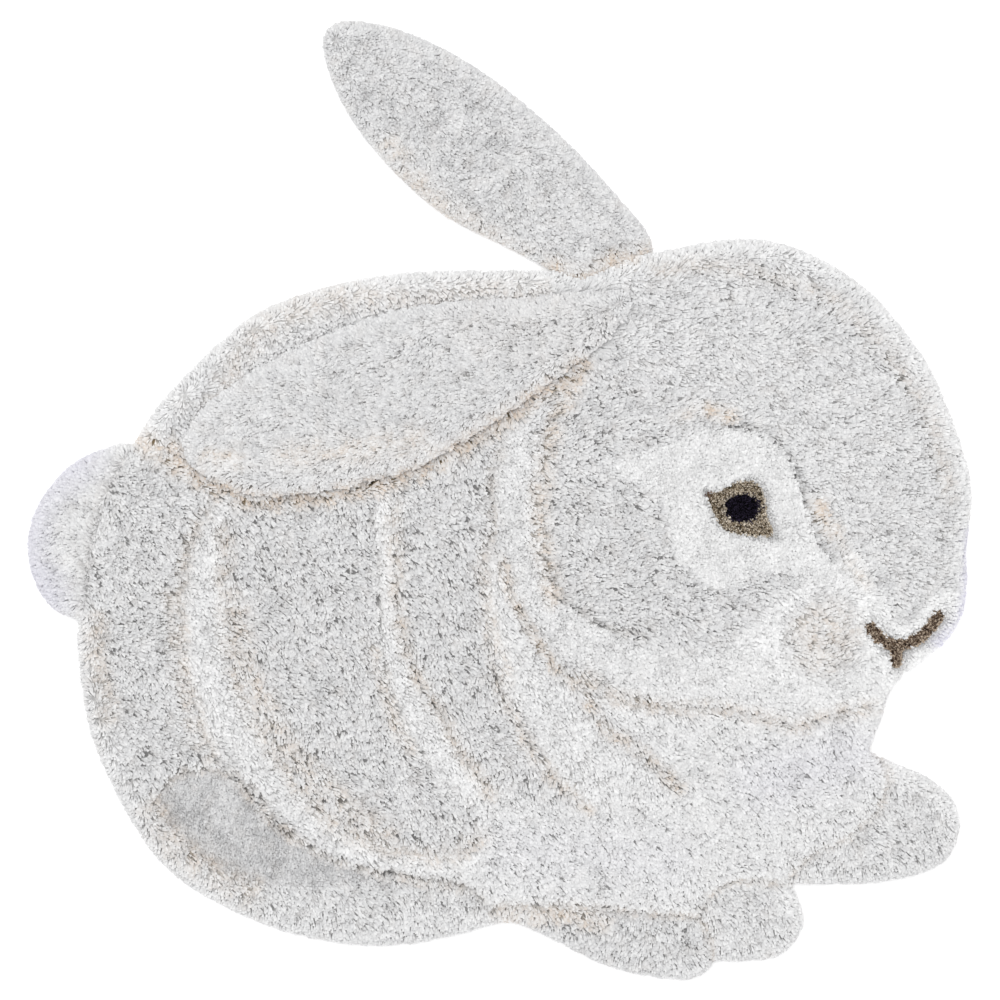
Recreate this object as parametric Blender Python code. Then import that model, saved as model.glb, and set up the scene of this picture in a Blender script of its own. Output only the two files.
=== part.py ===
"""Rabbit-shaped tufted cotton rug for a child's room, lying flat on the floor.

Metres, +Z up. The origin is the middle of the rug's outline, on the floor; +X is where the rabbit faces and
+Y is towards its ears. The tables of outline points are in millimetres from that origin.

The rug is one tufted slab, backing and cut pile together, with lines carved into the pile. Two ears are
tufted on their own: the upper one is butted and sewn to the edge, the lower one is a flap that lies over the
back. The eye and the mouth are patches of dark yarn, each let into a pocket in the pile.
"""

import bmesh
import bpy
import numpy as np
from mathutils import Vector, noise
from mathutils.geometry import delaunay_2d_cdt

MM = 0.001

# Driving dimensions
BACKING = 2.5 * MM  # canvas and latex under the pile
PILE_TOP = 19.0 * MM  # floor to the top of the body's pile
EAR_TOP = 16.0 * MM  # floor to the top of the upper ear's shorter pile
RIM_ROUND = 13.0 * MM  # how far in from the edge the pile reaches its full height
RIM_WALL = 6.0 * MM  # height of the upright edge below the rounding
GAP = 0.3 * MM  # clearance between neighbouring pieces

TROUGH_FLOOR = 11.0 * MM  # the body's pile pressed flat under the lower ear
TROUGH_MARGIN = 3.0 * MM  # how far the pressed area reaches past the ear
TROUGH_SLOPE = 10.0 * MM  # width over which the pile rises again
FLAP_THICKNESS = 14.0 * MM
FLAP_ROUND = 10.0 * MM
FLAP_WALL = 4.5 * MM

LUMP_HEIGHT = 1.3 * MM  # unevenness of a hand-tufted pile
LUMP_SPAN = 38.0 * MM

PATCH_PROUD = 0.5 * MM  # dark yarn stands this much above the pile round it
PATCH_ROUND = 3.0 * MM
PATCH_WALL = 11.0 * MM
PUPIL_WIDTH = 42.0 * MM
PUPIL_HEIGHT = 33.0 * MM
PUPIL_CENTRE = (278.0 * MM, -9.0 * MM)
MOUTH_STROKE = 15.0 * MM  # width of the mouth's tufted line
MUZZLE_CENTRE = (366.0 * MM, -158.0 * MM)
MUZZLE_DIAMETER = 94.0 * MM
MUZZLE_DEPTH = 3.0 * MM

# Spacing of the mesh points along outlines, carved lines, open pile and small patches
EDGE_STEP = 12.0 * MM
LINE_STEP = 12.0 * MM
GRID_STEP = 20.0 * MM
PATCH_STEP = 4.0 * MM
RIM_RINGS = (0.12, 0.45, 1.0)  # rings of points across a rounded rim, as shares of its width
PATCH_RINGS = (0.3, 1.0)
NEAR_RIM = 3.6 * MM  # points that come nearer to an earlier one than this are left out
NEAR_TROUGH = 4.8 * MM
NEAR_LINE = 6.0 * MM
NEAR_GRID = 12.0 * MM
NEAR_PATCH = 1.6 * MM
SAME_POINT = 0.001 * MM
SHARP_ANGLE = 0.9  # radians between faces that are still shaded as one surface

# The body's outline, clockwise. Each stretch is one smooth curve through its points (x, y), and the
# stretches meet at the corners that the outline has.
BODY_STRETCHES = {
    "ear_seam": ((68, 262), (82, 256), (99, 254), (129, 267), (150, 277), (176, 283)),
    "crown_and_face": (
        (176, 283), (213, 290), (255, 298), (295, 299), (330, 292), (362, 279), (398, 259), (437, 226),
        (471, 185), (500, 138), (532, 55), (541, 4), (535, -60), (536, -94), (529, -135), (503, -169),
        (452, -212), (438, -250), (422, -289),
    ),
    "far_paw": (
        (422, -289), (449, -303), (487, -318), (519, -344), (528, -376), (513, -413), (470, -432),
        (414, -440), (332, -440),
    ),
    "near_paw": ((332, -440), (345, -468), (347, -492), (323, -522), (285, -529), (246, -529)),
    "leg_and_haunch": (
        (246, -529), (232, -546), (195, -550), (121, -534), (46, -497), (4, -484), (-46, -498), (-132, -512),
        (-230, -500), (-316, -467), (-387, -419), (-437, -344), (-472, -261), (-485, -172), (-484, -137),
    ),
    "tail": ((-484, -137), (-517, -121), (-540, -75), (-536, -19), (-497, 36), (-443, 62), (-421, 62)),
    "back": (
        (-421, 62), (-400, 98), (-371, 132), (-331, 172), (-276, 216), (-199, 244), (-104, 261), (-6, 263),
        (68, 262),
    ),
}

# The upper ear, clockwise from its seam; its seam is the body's ear_seam stretch.
UPPER_EAR = (
    (68, 262), (9, 292), (-70, 334), (-138, 398), (-181, 459), (-203, 522), (-192, 547), (-161, 550),
    (-96, 533), (-12, 486), (77, 411), (150, 331), (171, 303), (176, 283),
)

# The lower ear, clockwise from its root at the head, along its lower edge to the tip and back.
LOWER_EAR = (
    (152, 233), (124, 187), (66, 142), (-18, 85), (-94, 40), (-151, 23), (-230, 8), (-290, 9), (-345, 32),
    (-363, 62), (-339, 104), (-274, 152), (-172, 199), (-80, 223), (20, 230), (115, 238),
)

# Lines carved into the pile where tufted areas meet: depth in millimetres, then the line's points.
CARVED_LINES = {
    "jaw": (5, (
        (10, -62), (23, -122), (50, -167), (85, -202), (122, -221), (190, -235), (252, -237), (300, -248),
        (335, -259), (372, -246), (425, -235),
    )),
    "cheek": (4, ((49, 72), (45, 18), (48, -48), (57, -88), (80, -123), (122, -147), (166, -162))),
    "collar": (4, ((128, -230), (158, -268), (204, -321))),
    "shoulder": (5, (
        (2, 69), (-14, 18), (-8, -34), (-14, -78), (-6, -144), (16, -202), (62, -304), (104, -351),
    )),
    "rib_rear_side": (4, ((-147, -4), (-142, -85), (-138, -158), (-127, -217), (-105, -268), (-76, -323))),
    "rib_front_side": (4, ((-124, -4), (-120, -122), (-98, -202), (-69, -246), (-39, -298), (-10, -334))),
    "haunch_rear_side": (4, (
        (-340, -12), (-363, -56), (-370, -122), (-366, -188), (-350, -247), (-336, -292),
    )),
    "haunch_front_side": (4, (
        (-318, -34), (-318, -122), (-306, -202), (-280, -256), (-245, -312), (-200, -364), (-134, -397),
        (-62, -406), (-22, -384),
    )),
    "hock": (5, (
        (-336, -292), (-282, -334), (-262, -374), (-223, -395), (-164, -422), (-47, -441), (-10, -472),
    )),
    "belly": (5, ((-10, -467), (48, -463), (122, -468), (188, -475), (228, -478), (240, -503), (244, -527))),
    "near_paw": (5, ((232, -470), (237, -455), (254, -441), (290, -436), (336, -440))),
    "far_paw": (5, (
        (331, -432), (356, -408), (396, -386), (427, -361), (443, -332), (441, -312), (426, -295),
    )),
    "brow": (3, ((203, 76), (254, 87), (298, 80), (331, 50), (349, -5), (364, -48), (393, -85))),
    "crown": (2, ((255, 268), (342, 252), (400, 215), (452, 164), (488, 105), (505, 47))),
    "tail": (3, ((-433, 52), (-461, -6), (-477, -70), (-482, -128))),
}
LINE_HALF_WIDTH = 10.0 * MM

# The low-sheared area in front of the hock, and how far below the pile it lies.
HOCK_HOLLOW = (
    (-402, -345), (-369, -324), (-329, -324), (-296, -346), (-262, -378), (-208, -404), (-135, -429),
    (-62, -444), (-135, -451), (-223, -443), (-296, -436), (-347, -415), (-384, -380),
)
HOLLOW_DEPTH = 5.0 * MM
HOLLOW_SLOPE = 9.0 * MM

# The eye's coloured ring with its two corners.
EYE_UPPER = ((233, 11), (249, 9), (260, 16), (282, 23), (300, 15), (306, -14), (310, -27), (317, -42))
EYE_LOWER = ((317, -42), (281, -41), (257, -34), (244, -13), (233, 11))

MOUTH_SMILE = ((426, -146), (440, -161), (456, -167), (475, -162), (492, -150), (504, -133))
MOUTH_STEM = ((455.5, -167), (455.5, -186))

YARNS = {
    "cotton_natural": ((0.80, 0.79, 0.77), 0.95),
    "cotton_grey": ((0.74, 0.73, 0.72), 0.95),
    "cotton_brown": ((0.17, 0.12, 0.075), 0.95),
    "cotton_black": ((0.012, 0.012, 0.018), 0.95),
}


def clear_scene():
    for old in list(bpy.data.objects):
        bpy.data.objects.remove(old)


def yarn(name):
    """The plain material of one yarn."""
    colour, roughness = YARNS[name]
    material = bpy.data.materials.new(name)
    material.use_nodes = True
    shader = material.node_tree.nodes["Principled BSDF"]
    shader.inputs["Base Color"].default_value = (*colour, 1.0)
    shader.inputs["Roughness"].default_value = roughness
    shader.inputs["Metallic"].default_value = 0.0
    return material


def evenly(line, step):
    """The line again, with its points the same distance apart and about one step."""
    along = np.concatenate([[0], np.cumsum(np.linalg.norm(np.diff(line, axis=0), axis=1))])
    count = max(2, round(along[-1] / step)) + 1
    at = np.linspace(0, along[-1], count)
    return np.stack([np.interp(at, along, line[:, axis]) for axis in (0, 1)], axis=1)


def curve_through(anchors, step, closed=False):
    """A smooth curve through anchors given in millimetres, as points in metres one step apart.

    It is a Catmull-Rom curve, which passes through each anchor. A closed one leaves out the repeated end.
    """
    anchors = np.array(anchors, float) * MM
    if closed:
        padded = np.vstack([anchors[-1:], anchors, anchors[:2]])
    else:
        first = 2 * anchors[0] - anchors[1]
        last = 2 * anchors[-1] - anchors[-2]
        padded = np.vstack([first, anchors, last])
    share = np.linspace(0, 1, 12, endpoint=False)[:, None]
    pieces = []
    for before, start, end, after in zip(padded, padded[1:], padded[2:], padded[3:]):
        pieces.append(
            start
            + share * (end - before) / 2
            + share**2 * (2 * before - 5 * start + 4 * end - after) / 2
            + share**3 * (3 * start - before - 3 * end + after) / 2
        )
    pieces.append(padded[-2:-1])
    line = evenly(np.vstack(pieces), step)
    return line[:-1] if closed else line


def closed_outline(stretches, step):
    """One closed outline made of smooth stretches that meet at corners."""
    return np.vstack([curve_through(anchors, step)[:-1] for anchors in stretches])


def distance_to(line, spots, closed=False):
    """The shortest distance from each spot to a line of points."""
    ends = np.vstack([line, line[:1]]) if closed else line
    start, run = ends[:-1], np.diff(ends, axis=0)
    share = ((spots[:, None] - start) * run).sum(-1) / (run * run).sum(-1)
    nearest = start + np.clip(share, 0, 1)[..., None] * run
    return np.linalg.norm(spots[:, None] - nearest, axis=-1).min(axis=1)


def is_inside(outline, spots):
    """Whether each spot lies inside a closed outline, by counting crossings to its right."""
    start, end = outline, np.roll(outline, -1, axis=0)
    x, y = spots[:, None, 0], spots[:, None, 1]
    spans = (start[:, 1] > y) != (end[:, 1] > y)
    run_y = np.where(end[:, 1] == start[:, 1], 1.0, end[:, 1] - start[:, 1])
    crossing = start[:, 0] + (y - start[:, 1]) * (end[:, 0] - start[:, 0]) / run_y
    return (spans & (crossing > x)).sum(axis=1) % 2 == 1


def signed_distance(outline, spots):
    """Distance to a closed outline, positive inside it."""
    return np.where(is_inside(outline, spots), 1, -1) * distance_to(outline, spots, closed=True)


def normals_of(line, closed):
    """Unit normals to the left of a line's direction."""
    if closed:
        run = np.roll(line, -1, axis=0) - np.roll(line, 1, axis=0)
    else:
        run = np.gradient(line, axis=0)
    run /= np.linalg.norm(run, axis=1)[:, None]
    return np.stack([-run[:, 1], run[:, 0]], axis=1)


def offset_outline(outline, distance):
    """A closed clockwise outline moved inward by a distance, or outward by a negative one."""
    return outline - normals_of(outline, closed=True) * distance


def smooth_step(share):
    share = np.clip(share, 0, 1)
    return share * share * (3 - 2 * share)


def rings_inside(outline, insets):
    """Points on rings inside an outline, without those that a narrow place pushes too near the other side."""
    rings = [(offset_outline(outline, inset), inset) for inset in insets]
    return [ring[signed_distance(outline, ring) > 0.93 * inset] for ring, inset in rings]


def grid_inside(outline, step, inset):
    """A triangular grid of points that keeps inside an outline by the inset."""
    low, high = outline.min(axis=0), outline.max(axis=0)
    rows = []
    for index, y in enumerate(np.arange(low[1], high[1], step * 0.866)):
        x = np.arange(low[0] + (index % 2) * step / 2, high[0], step)
        rows.append(np.stack([x, np.full_like(x, y)], axis=1))
    grid = np.vstack(rows)
    return grid[signed_distance(outline, grid) > inset]


def spaced_out(groups, taken=()):
    """The points of (points, nearest) groups in turn, without those nearer than that to an earlier one.

    Points that are already taken keep the new ones off as well, and aren't in the result.
    """
    kept = np.array(taken).reshape(-1, 2)
    first_new = len(kept)
    for points, nearest in groups:
        for point in points:
            if not len(kept) or np.linalg.norm(kept - point, axis=1).min() > nearest:
                kept = np.vstack([kept, point])
    return kept[first_new:]


def lumps(spots):
    """The uneven height of hand-tufted pile, from minus to plus the lump height."""
    return LUMP_HEIGHT * np.array([noise.noise(Vector((x, y, 0)) / LUMP_SPAN) for x, y in spots])


def rim_rounded(full, wall, edge_distance, reach):
    """Heights that start at the wall's top on the edge and round over to their full value at the reach."""
    share = np.clip(edge_distance / reach, 0, 1)
    return wall + (full - wall) * np.sqrt(1 - (1 - share) ** 2)


def solid_between(name, outlines, spots, top_of, floor, material, creases=()):
    """A closed solid over one or more overlapping outlines, with a shaped top and a flat floor.

    The top is a triangle mesh through the outlines, the spots and the creases, at the heights that top_of
    gives. A crease is a line of points that stays a line of edges in the mesh.
    """
    loops, links, start = [], [], 0
    for line in (*outlines, *creases):
        numbers = list(range(start, start + len(line)))
        start += len(line)
        if len(loops) < len(outlines):
            loops.append(numbers)
        else:
            links += list(zip(numbers, numbers[1:]))
    plan = [Vector(point) for group in (*outlines, *creases, spots) for point in group]
    inside_triangles = 1
    corners, _, faces, *_ = delaunay_2d_cdt(plan, links, loops, inside_triangles, SAME_POINT)
    corners = np.array([tuple(corner) for corner in corners])
    points = np.column_stack([corners, top_of(corners)])
    shape = bmesh.new()
    made = [shape.verts.new(point) for point in points]
    for face in faces:
        shape.faces.new([made[index] for index in face])
    bmesh.ops.delete(shape, geom=[vert for vert in shape.verts if not vert.link_faces], context="VERTS")
    edge = [line for line in shape.edges if line.is_boundary]
    wall = bmesh.ops.extrude_edge_only(shape, edges=edge)["geom"]
    for vert in wall:
        if isinstance(vert, bmesh.types.BMVert):
            vert.co.z = floor
    foot = [line for line in wall if isinstance(line, bmesh.types.BMEdge)]
    bmesh.ops.contextual_create(shape, geom=foot)
    bmesh.ops.recalc_face_normals(shape, faces=shape.faces)
    mesh = bpy.data.meshes.new(name)
    shape.to_mesh(mesh)
    shape.free()
    mesh.materials.append(material)
    mesh.shade_smooth()
    mesh.set_sharp_from_angle(angle=SHARP_ANGLE)
    rug_piece = bpy.data.objects.new(name, mesh)
    bpy.context.scene.collection.objects.link(rug_piece)
    return rug_piece


def level(height):
    """A flat top at that height."""
    return lambda spots: np.full(len(spots), height)


def cut_pocket(piece, outlines, floor):
    """Sinks outlines into a piece's pile down to the floor height, with a hidden cutter."""
    cutter = solid_between(piece.name + "_cutter", outlines, [], level(2 * PILE_TOP), floor, None)
    cutter.hide_render = True
    cutter.display_type = "WIRE"
    cut = piece.modifiers.new("pocket", "BOOLEAN")
    cut.operation = "DIFFERENCE"
    cut.solver = "EXACT"
    cut.object = cutter


def stroke(anchors, width):
    """The outline of a line drawn with a round brush, clockwise."""
    line = curve_through(anchors, PATCH_STEP)
    side = normals_of(line, closed=False) * width / 2
    turns = np.linspace(0, np.pi, 9)[1:-1, None]
    end = line[-1] + side[-1] * np.cos(turns) + np.array([side[-1][1], -side[-1][0]]) * np.sin(turns)
    start = line[0] - side[0] * np.cos(turns) - np.array([side[0][1], -side[0][0]]) * np.sin(turns)
    return np.vstack([line + side, end, (line - side)[::-1], start])


def ellipse(centre, width, height, step):
    """An ellipse, clockwise."""
    count = round(np.pi * (width + height) / 2 / step)
    turns = -np.linspace(0, 2 * np.pi, count, endpoint=False)
    return np.array(centre) + np.stack([np.cos(turns) * width / 2, np.sin(turns) * height / 2], axis=1)


def carved_lines():
    """Each carved line as (depth, points)."""
    lines = [(depth * MM, curve_through(anchors, LINE_STEP)) for depth, anchors in CARVED_LINES.values()]
    muzzle = ellipse(MUZZLE_CENTRE, MUZZLE_DIAMETER, MUZZLE_DIAMETER, LINE_STEP)
    lines.append((MUZZLE_DEPTH, np.vstack([muzzle, muzzle[:1]])))
    return lines


def body_top(outline, lines, flap, hollow):
    """The function that gives the height of the body's pile at each spot."""

    def height_at(spots):
        top = PILE_TOP + lumps(spots)
        for depth, line in lines:
            near = np.clip(distance_to(line, spots) / LINE_HALF_WIDTH, 0, 1)
            top = np.minimum(top, PILE_TOP + lumps(spots) - depth * (1 - near) ** 2 * (1 + 2 * near))
        top -= HOLLOW_DEPTH * smooth_step(signed_distance(hollow, spots) / HOLLOW_SLOPE)
        outside_flap = -signed_distance(flap, spots) - TROUGH_MARGIN
        pressed = 1 - smooth_step(outside_flap / TROUGH_SLOPE)
        top = top * (1 - pressed) + TROUGH_FLOOR * pressed
        return rim_rounded(top, RIM_WALL, distance_to(outline, spots, closed=True), RIM_ROUND)

    return height_at


def slab_top(outline, floor, full, wall, reach):
    """The function that gives the height of a plain piece of pile at each spot."""

    def height_at(spots):
        edge_distance = distance_to(outline, spots, closed=True)
        uneven = lumps(spots) * np.clip(edge_distance / reach, 0, 1)
        return floor + rim_rounded(full + uneven, wall, edge_distance, reach)

    return height_at


def make_body(outline, flap, hollow, pockets):
    """The body, with its carved lines and the pockets for the eye and the mouth."""
    lines = carved_lines()
    creases = [line for _, line in lines]
    first_ring, *_ = insets = [share * RIM_ROUND for share in RIM_RINGS]
    groups = [(ring, NEAR_RIM) for ring in rings_inside(outline, insets)]
    for line in creases:
        side = normals_of(line, closed=False) * LINE_HALF_WIDTH
        groups += [(line + side, NEAR_LINE), (line - side, NEAR_LINE)]
    for share in (0, 0.5, 1):
        groups.append((offset_outline(flap, -TROUGH_MARGIN - share * TROUGH_SLOPE), NEAR_TROUGH))
    groups.append((offset_outline(hollow, HOLLOW_SLOPE), NEAR_LINE))
    groups = [(points[signed_distance(outline, points) >= first_ring * 0.9], near) for points, near in groups]
    groups.append((grid_inside(outline, GRID_STEP, RIM_ROUND), NEAR_GRID))
    spots = spaced_out(groups, taken=np.vstack(creases))
    top_of = body_top(outline, lines, flap, hollow)
    body = solid_between("rug_body", [outline], spots, top_of, 0.0, yarn("cotton_natural"), creases)
    cut_pocket(body, pockets, BACKING)
    return body


def make_ear(name, outline, floor, full, wall, reach):
    """An ear: a plain piece of pile with a rounded rim."""
    rings = rings_inside(outline, [share * reach for share in RIM_RINGS])
    groups = [*((ring, NEAR_RIM) for ring in rings), (grid_inside(outline, GRID_STEP, reach), NEAR_GRID)]
    top_of = slab_top(outline, floor, full, wall, reach)
    return solid_between(name, [outline], spaced_out(groups), top_of, floor, yarn("cotton_grey"))


def make_patch(name, outlines, material):
    """A patch of dark yarn that stands in its pocket, its top edge rounded."""
    groups = []
    for outline in outlines:
        others = [other for other in outlines if other is not outline]
        for ring in rings_inside(outline, [share * PATCH_ROUND for share in PATCH_RINGS]):
            clear = [signed_distance(other, ring) < -SAME_POINT for other in others]
            groups.append((ring[np.all(clear, axis=0)] if clear else ring, NEAR_PATCH))
    floor, full = BACKING + GAP, PILE_TOP + PATCH_PROUD - BACKING - GAP

    def height_at(corners):
        depth = np.max([signed_distance(outline, corners) for outline in outlines], axis=0)
        return floor + rim_rounded(full, PATCH_WALL, np.maximum(depth, 0), PATCH_ROUND)

    return solid_between(name, outlines, spaced_out(groups), height_at, floor, material)


def make_rug():
    clear_scene()
    body_outline = closed_outline(BODY_STRETCHES.values(), EDGE_STEP)
    flap = curve_through(LOWER_EAR, EDGE_STEP, closed=True)
    hollow = curve_through(HOCK_HOLLOW, EDGE_STEP, closed=True)
    eye = closed_outline((EYE_UPPER, EYE_LOWER), PATCH_STEP)
    mouth = [stroke(line, MOUTH_STROKE) for line in (MOUTH_SMILE, MOUTH_STEM)]
    pockets = [offset_outline(eye, -GAP), *(offset_outline(line, -GAP) for line in mouth)]
    make_body(body_outline, flap, hollow, pockets)

    seam = curve_through(BODY_STRETCHES["ear_seam"], EDGE_STEP) + (0, GAP)
    ear_edge = curve_through(UPPER_EAR, EDGE_STEP)
    upper_ear = np.vstack([ear_edge[1:-1], seam[::-1]])
    make_ear("upper_ear", upper_ear, 0.0, EAR_TOP, RIM_WALL, RIM_ROUND)
    make_ear("lower_ear", flap, TROUGH_FLOOR + GAP, FLAP_THICKNESS, FLAP_WALL, FLAP_ROUND)

    iris = make_patch("eye_ring", [eye], yarn("cotton_brown"))
    cut_pocket(iris, [ellipse(PUPIL_CENTRE, PUPIL_WIDTH, PUPIL_HEIGHT, PATCH_STEP)], 0.0)
    pupil = ellipse(PUPIL_CENTRE, PUPIL_WIDTH - 2 * GAP, PUPIL_HEIGHT - 2 * GAP, PATCH_STEP)
    make_patch("eye_pupil", [pupil], yarn("cotton_black"))
    make_patch("mouth", mouth, yarn("cotton_brown"))


make_rug()
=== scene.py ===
"""The looks of the rabbit-shaped cotton rug: cut pile, canvas backing, light and camera.

Metres, +Z up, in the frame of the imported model; tables of places are in millimetres in the same frame. Each
tufted piece is made of the dense mass of yarn, which shows in the gaps, and of the yarn tips that stand out
of it. Geometry Nodes plant the tips on the mass, and attributes on it say how they lean and what they wear.
"""

import math

import bmesh
import bpy
import numpy as np
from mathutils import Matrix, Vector, kdtree, noise


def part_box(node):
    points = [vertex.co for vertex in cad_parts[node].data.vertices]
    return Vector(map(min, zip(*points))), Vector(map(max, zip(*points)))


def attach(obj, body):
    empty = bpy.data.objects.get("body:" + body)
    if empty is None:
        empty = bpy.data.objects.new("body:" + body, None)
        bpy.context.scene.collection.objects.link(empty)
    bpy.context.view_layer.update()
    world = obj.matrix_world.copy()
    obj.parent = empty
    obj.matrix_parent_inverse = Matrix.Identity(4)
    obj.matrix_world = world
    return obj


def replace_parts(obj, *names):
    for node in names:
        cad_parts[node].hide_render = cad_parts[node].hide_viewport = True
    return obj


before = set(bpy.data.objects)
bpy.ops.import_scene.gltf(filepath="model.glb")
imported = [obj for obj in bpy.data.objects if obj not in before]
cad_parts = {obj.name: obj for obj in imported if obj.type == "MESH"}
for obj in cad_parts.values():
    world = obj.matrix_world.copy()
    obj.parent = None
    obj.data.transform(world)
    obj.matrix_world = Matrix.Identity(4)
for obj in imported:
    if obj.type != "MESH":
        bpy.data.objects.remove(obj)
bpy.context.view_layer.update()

MM = 0.001
TINY = 1e-6  # keeps a length from being zero where something is divided by it
CLOTHS = ("rug_body", "upper_ear", "lower_ear")
PILE_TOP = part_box("rug_body")[1].z

# The pile of each tufted cloth, in millimetres: the even mesh under the tips, how far the tips stand out of
# it, a yarn's width, and how near two tips may be planted.
PILES = {
    "rug_body": {"mesh": 4.0, "tips": 4.0, "yarn": 2.9, "nearest": 0.8},
    "upper_ear": {"mesh": 4.0, "tips": 3.5, "yarn": 2.7, "nearest": 0.8},
    "lower_ear": {"mesh": 4.0, "tips": 3.5, "yarn": 2.7, "nearest": 0.8},
    "eye_ring": {"mesh": 1.2, "tips": 2.2, "yarn": 2.2, "nearest": 0.9},
    "eye_pupil": {"mesh": 1.2, "tips": 2.4, "yarn": 2.2, "nearest": 1.0},
    "mouth": {"mesh": 1.2, "tips": 2.6, "yarn": 2.1, "nearest": 0.9},
}
CLOTH_TUFTS = 870e3  # the most tips on a square metre
PATCH_TUFTS = 1100e3

# The mass of yarn under the tips
RIM_TIPS = 0.5  # how far the tips at the edge stand out, as a share of those on top
SHOWN_MESH = 2.0  # the shown mass is coarser than the mesh that the tips are planted on, by this
SOFTENING = 3  # rounds of smoothing
POCKET_MARGIN = 5.0  # millimetres round the box of a dark patch that count as its pocket
POCKET_FLOOR = 2.5  # millimetres of canvas and latex under the eye and the mouth
RAISED_FLOOR = 10.0  # the height of that floor while the even mesh is made, which would lose a thin one

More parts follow.
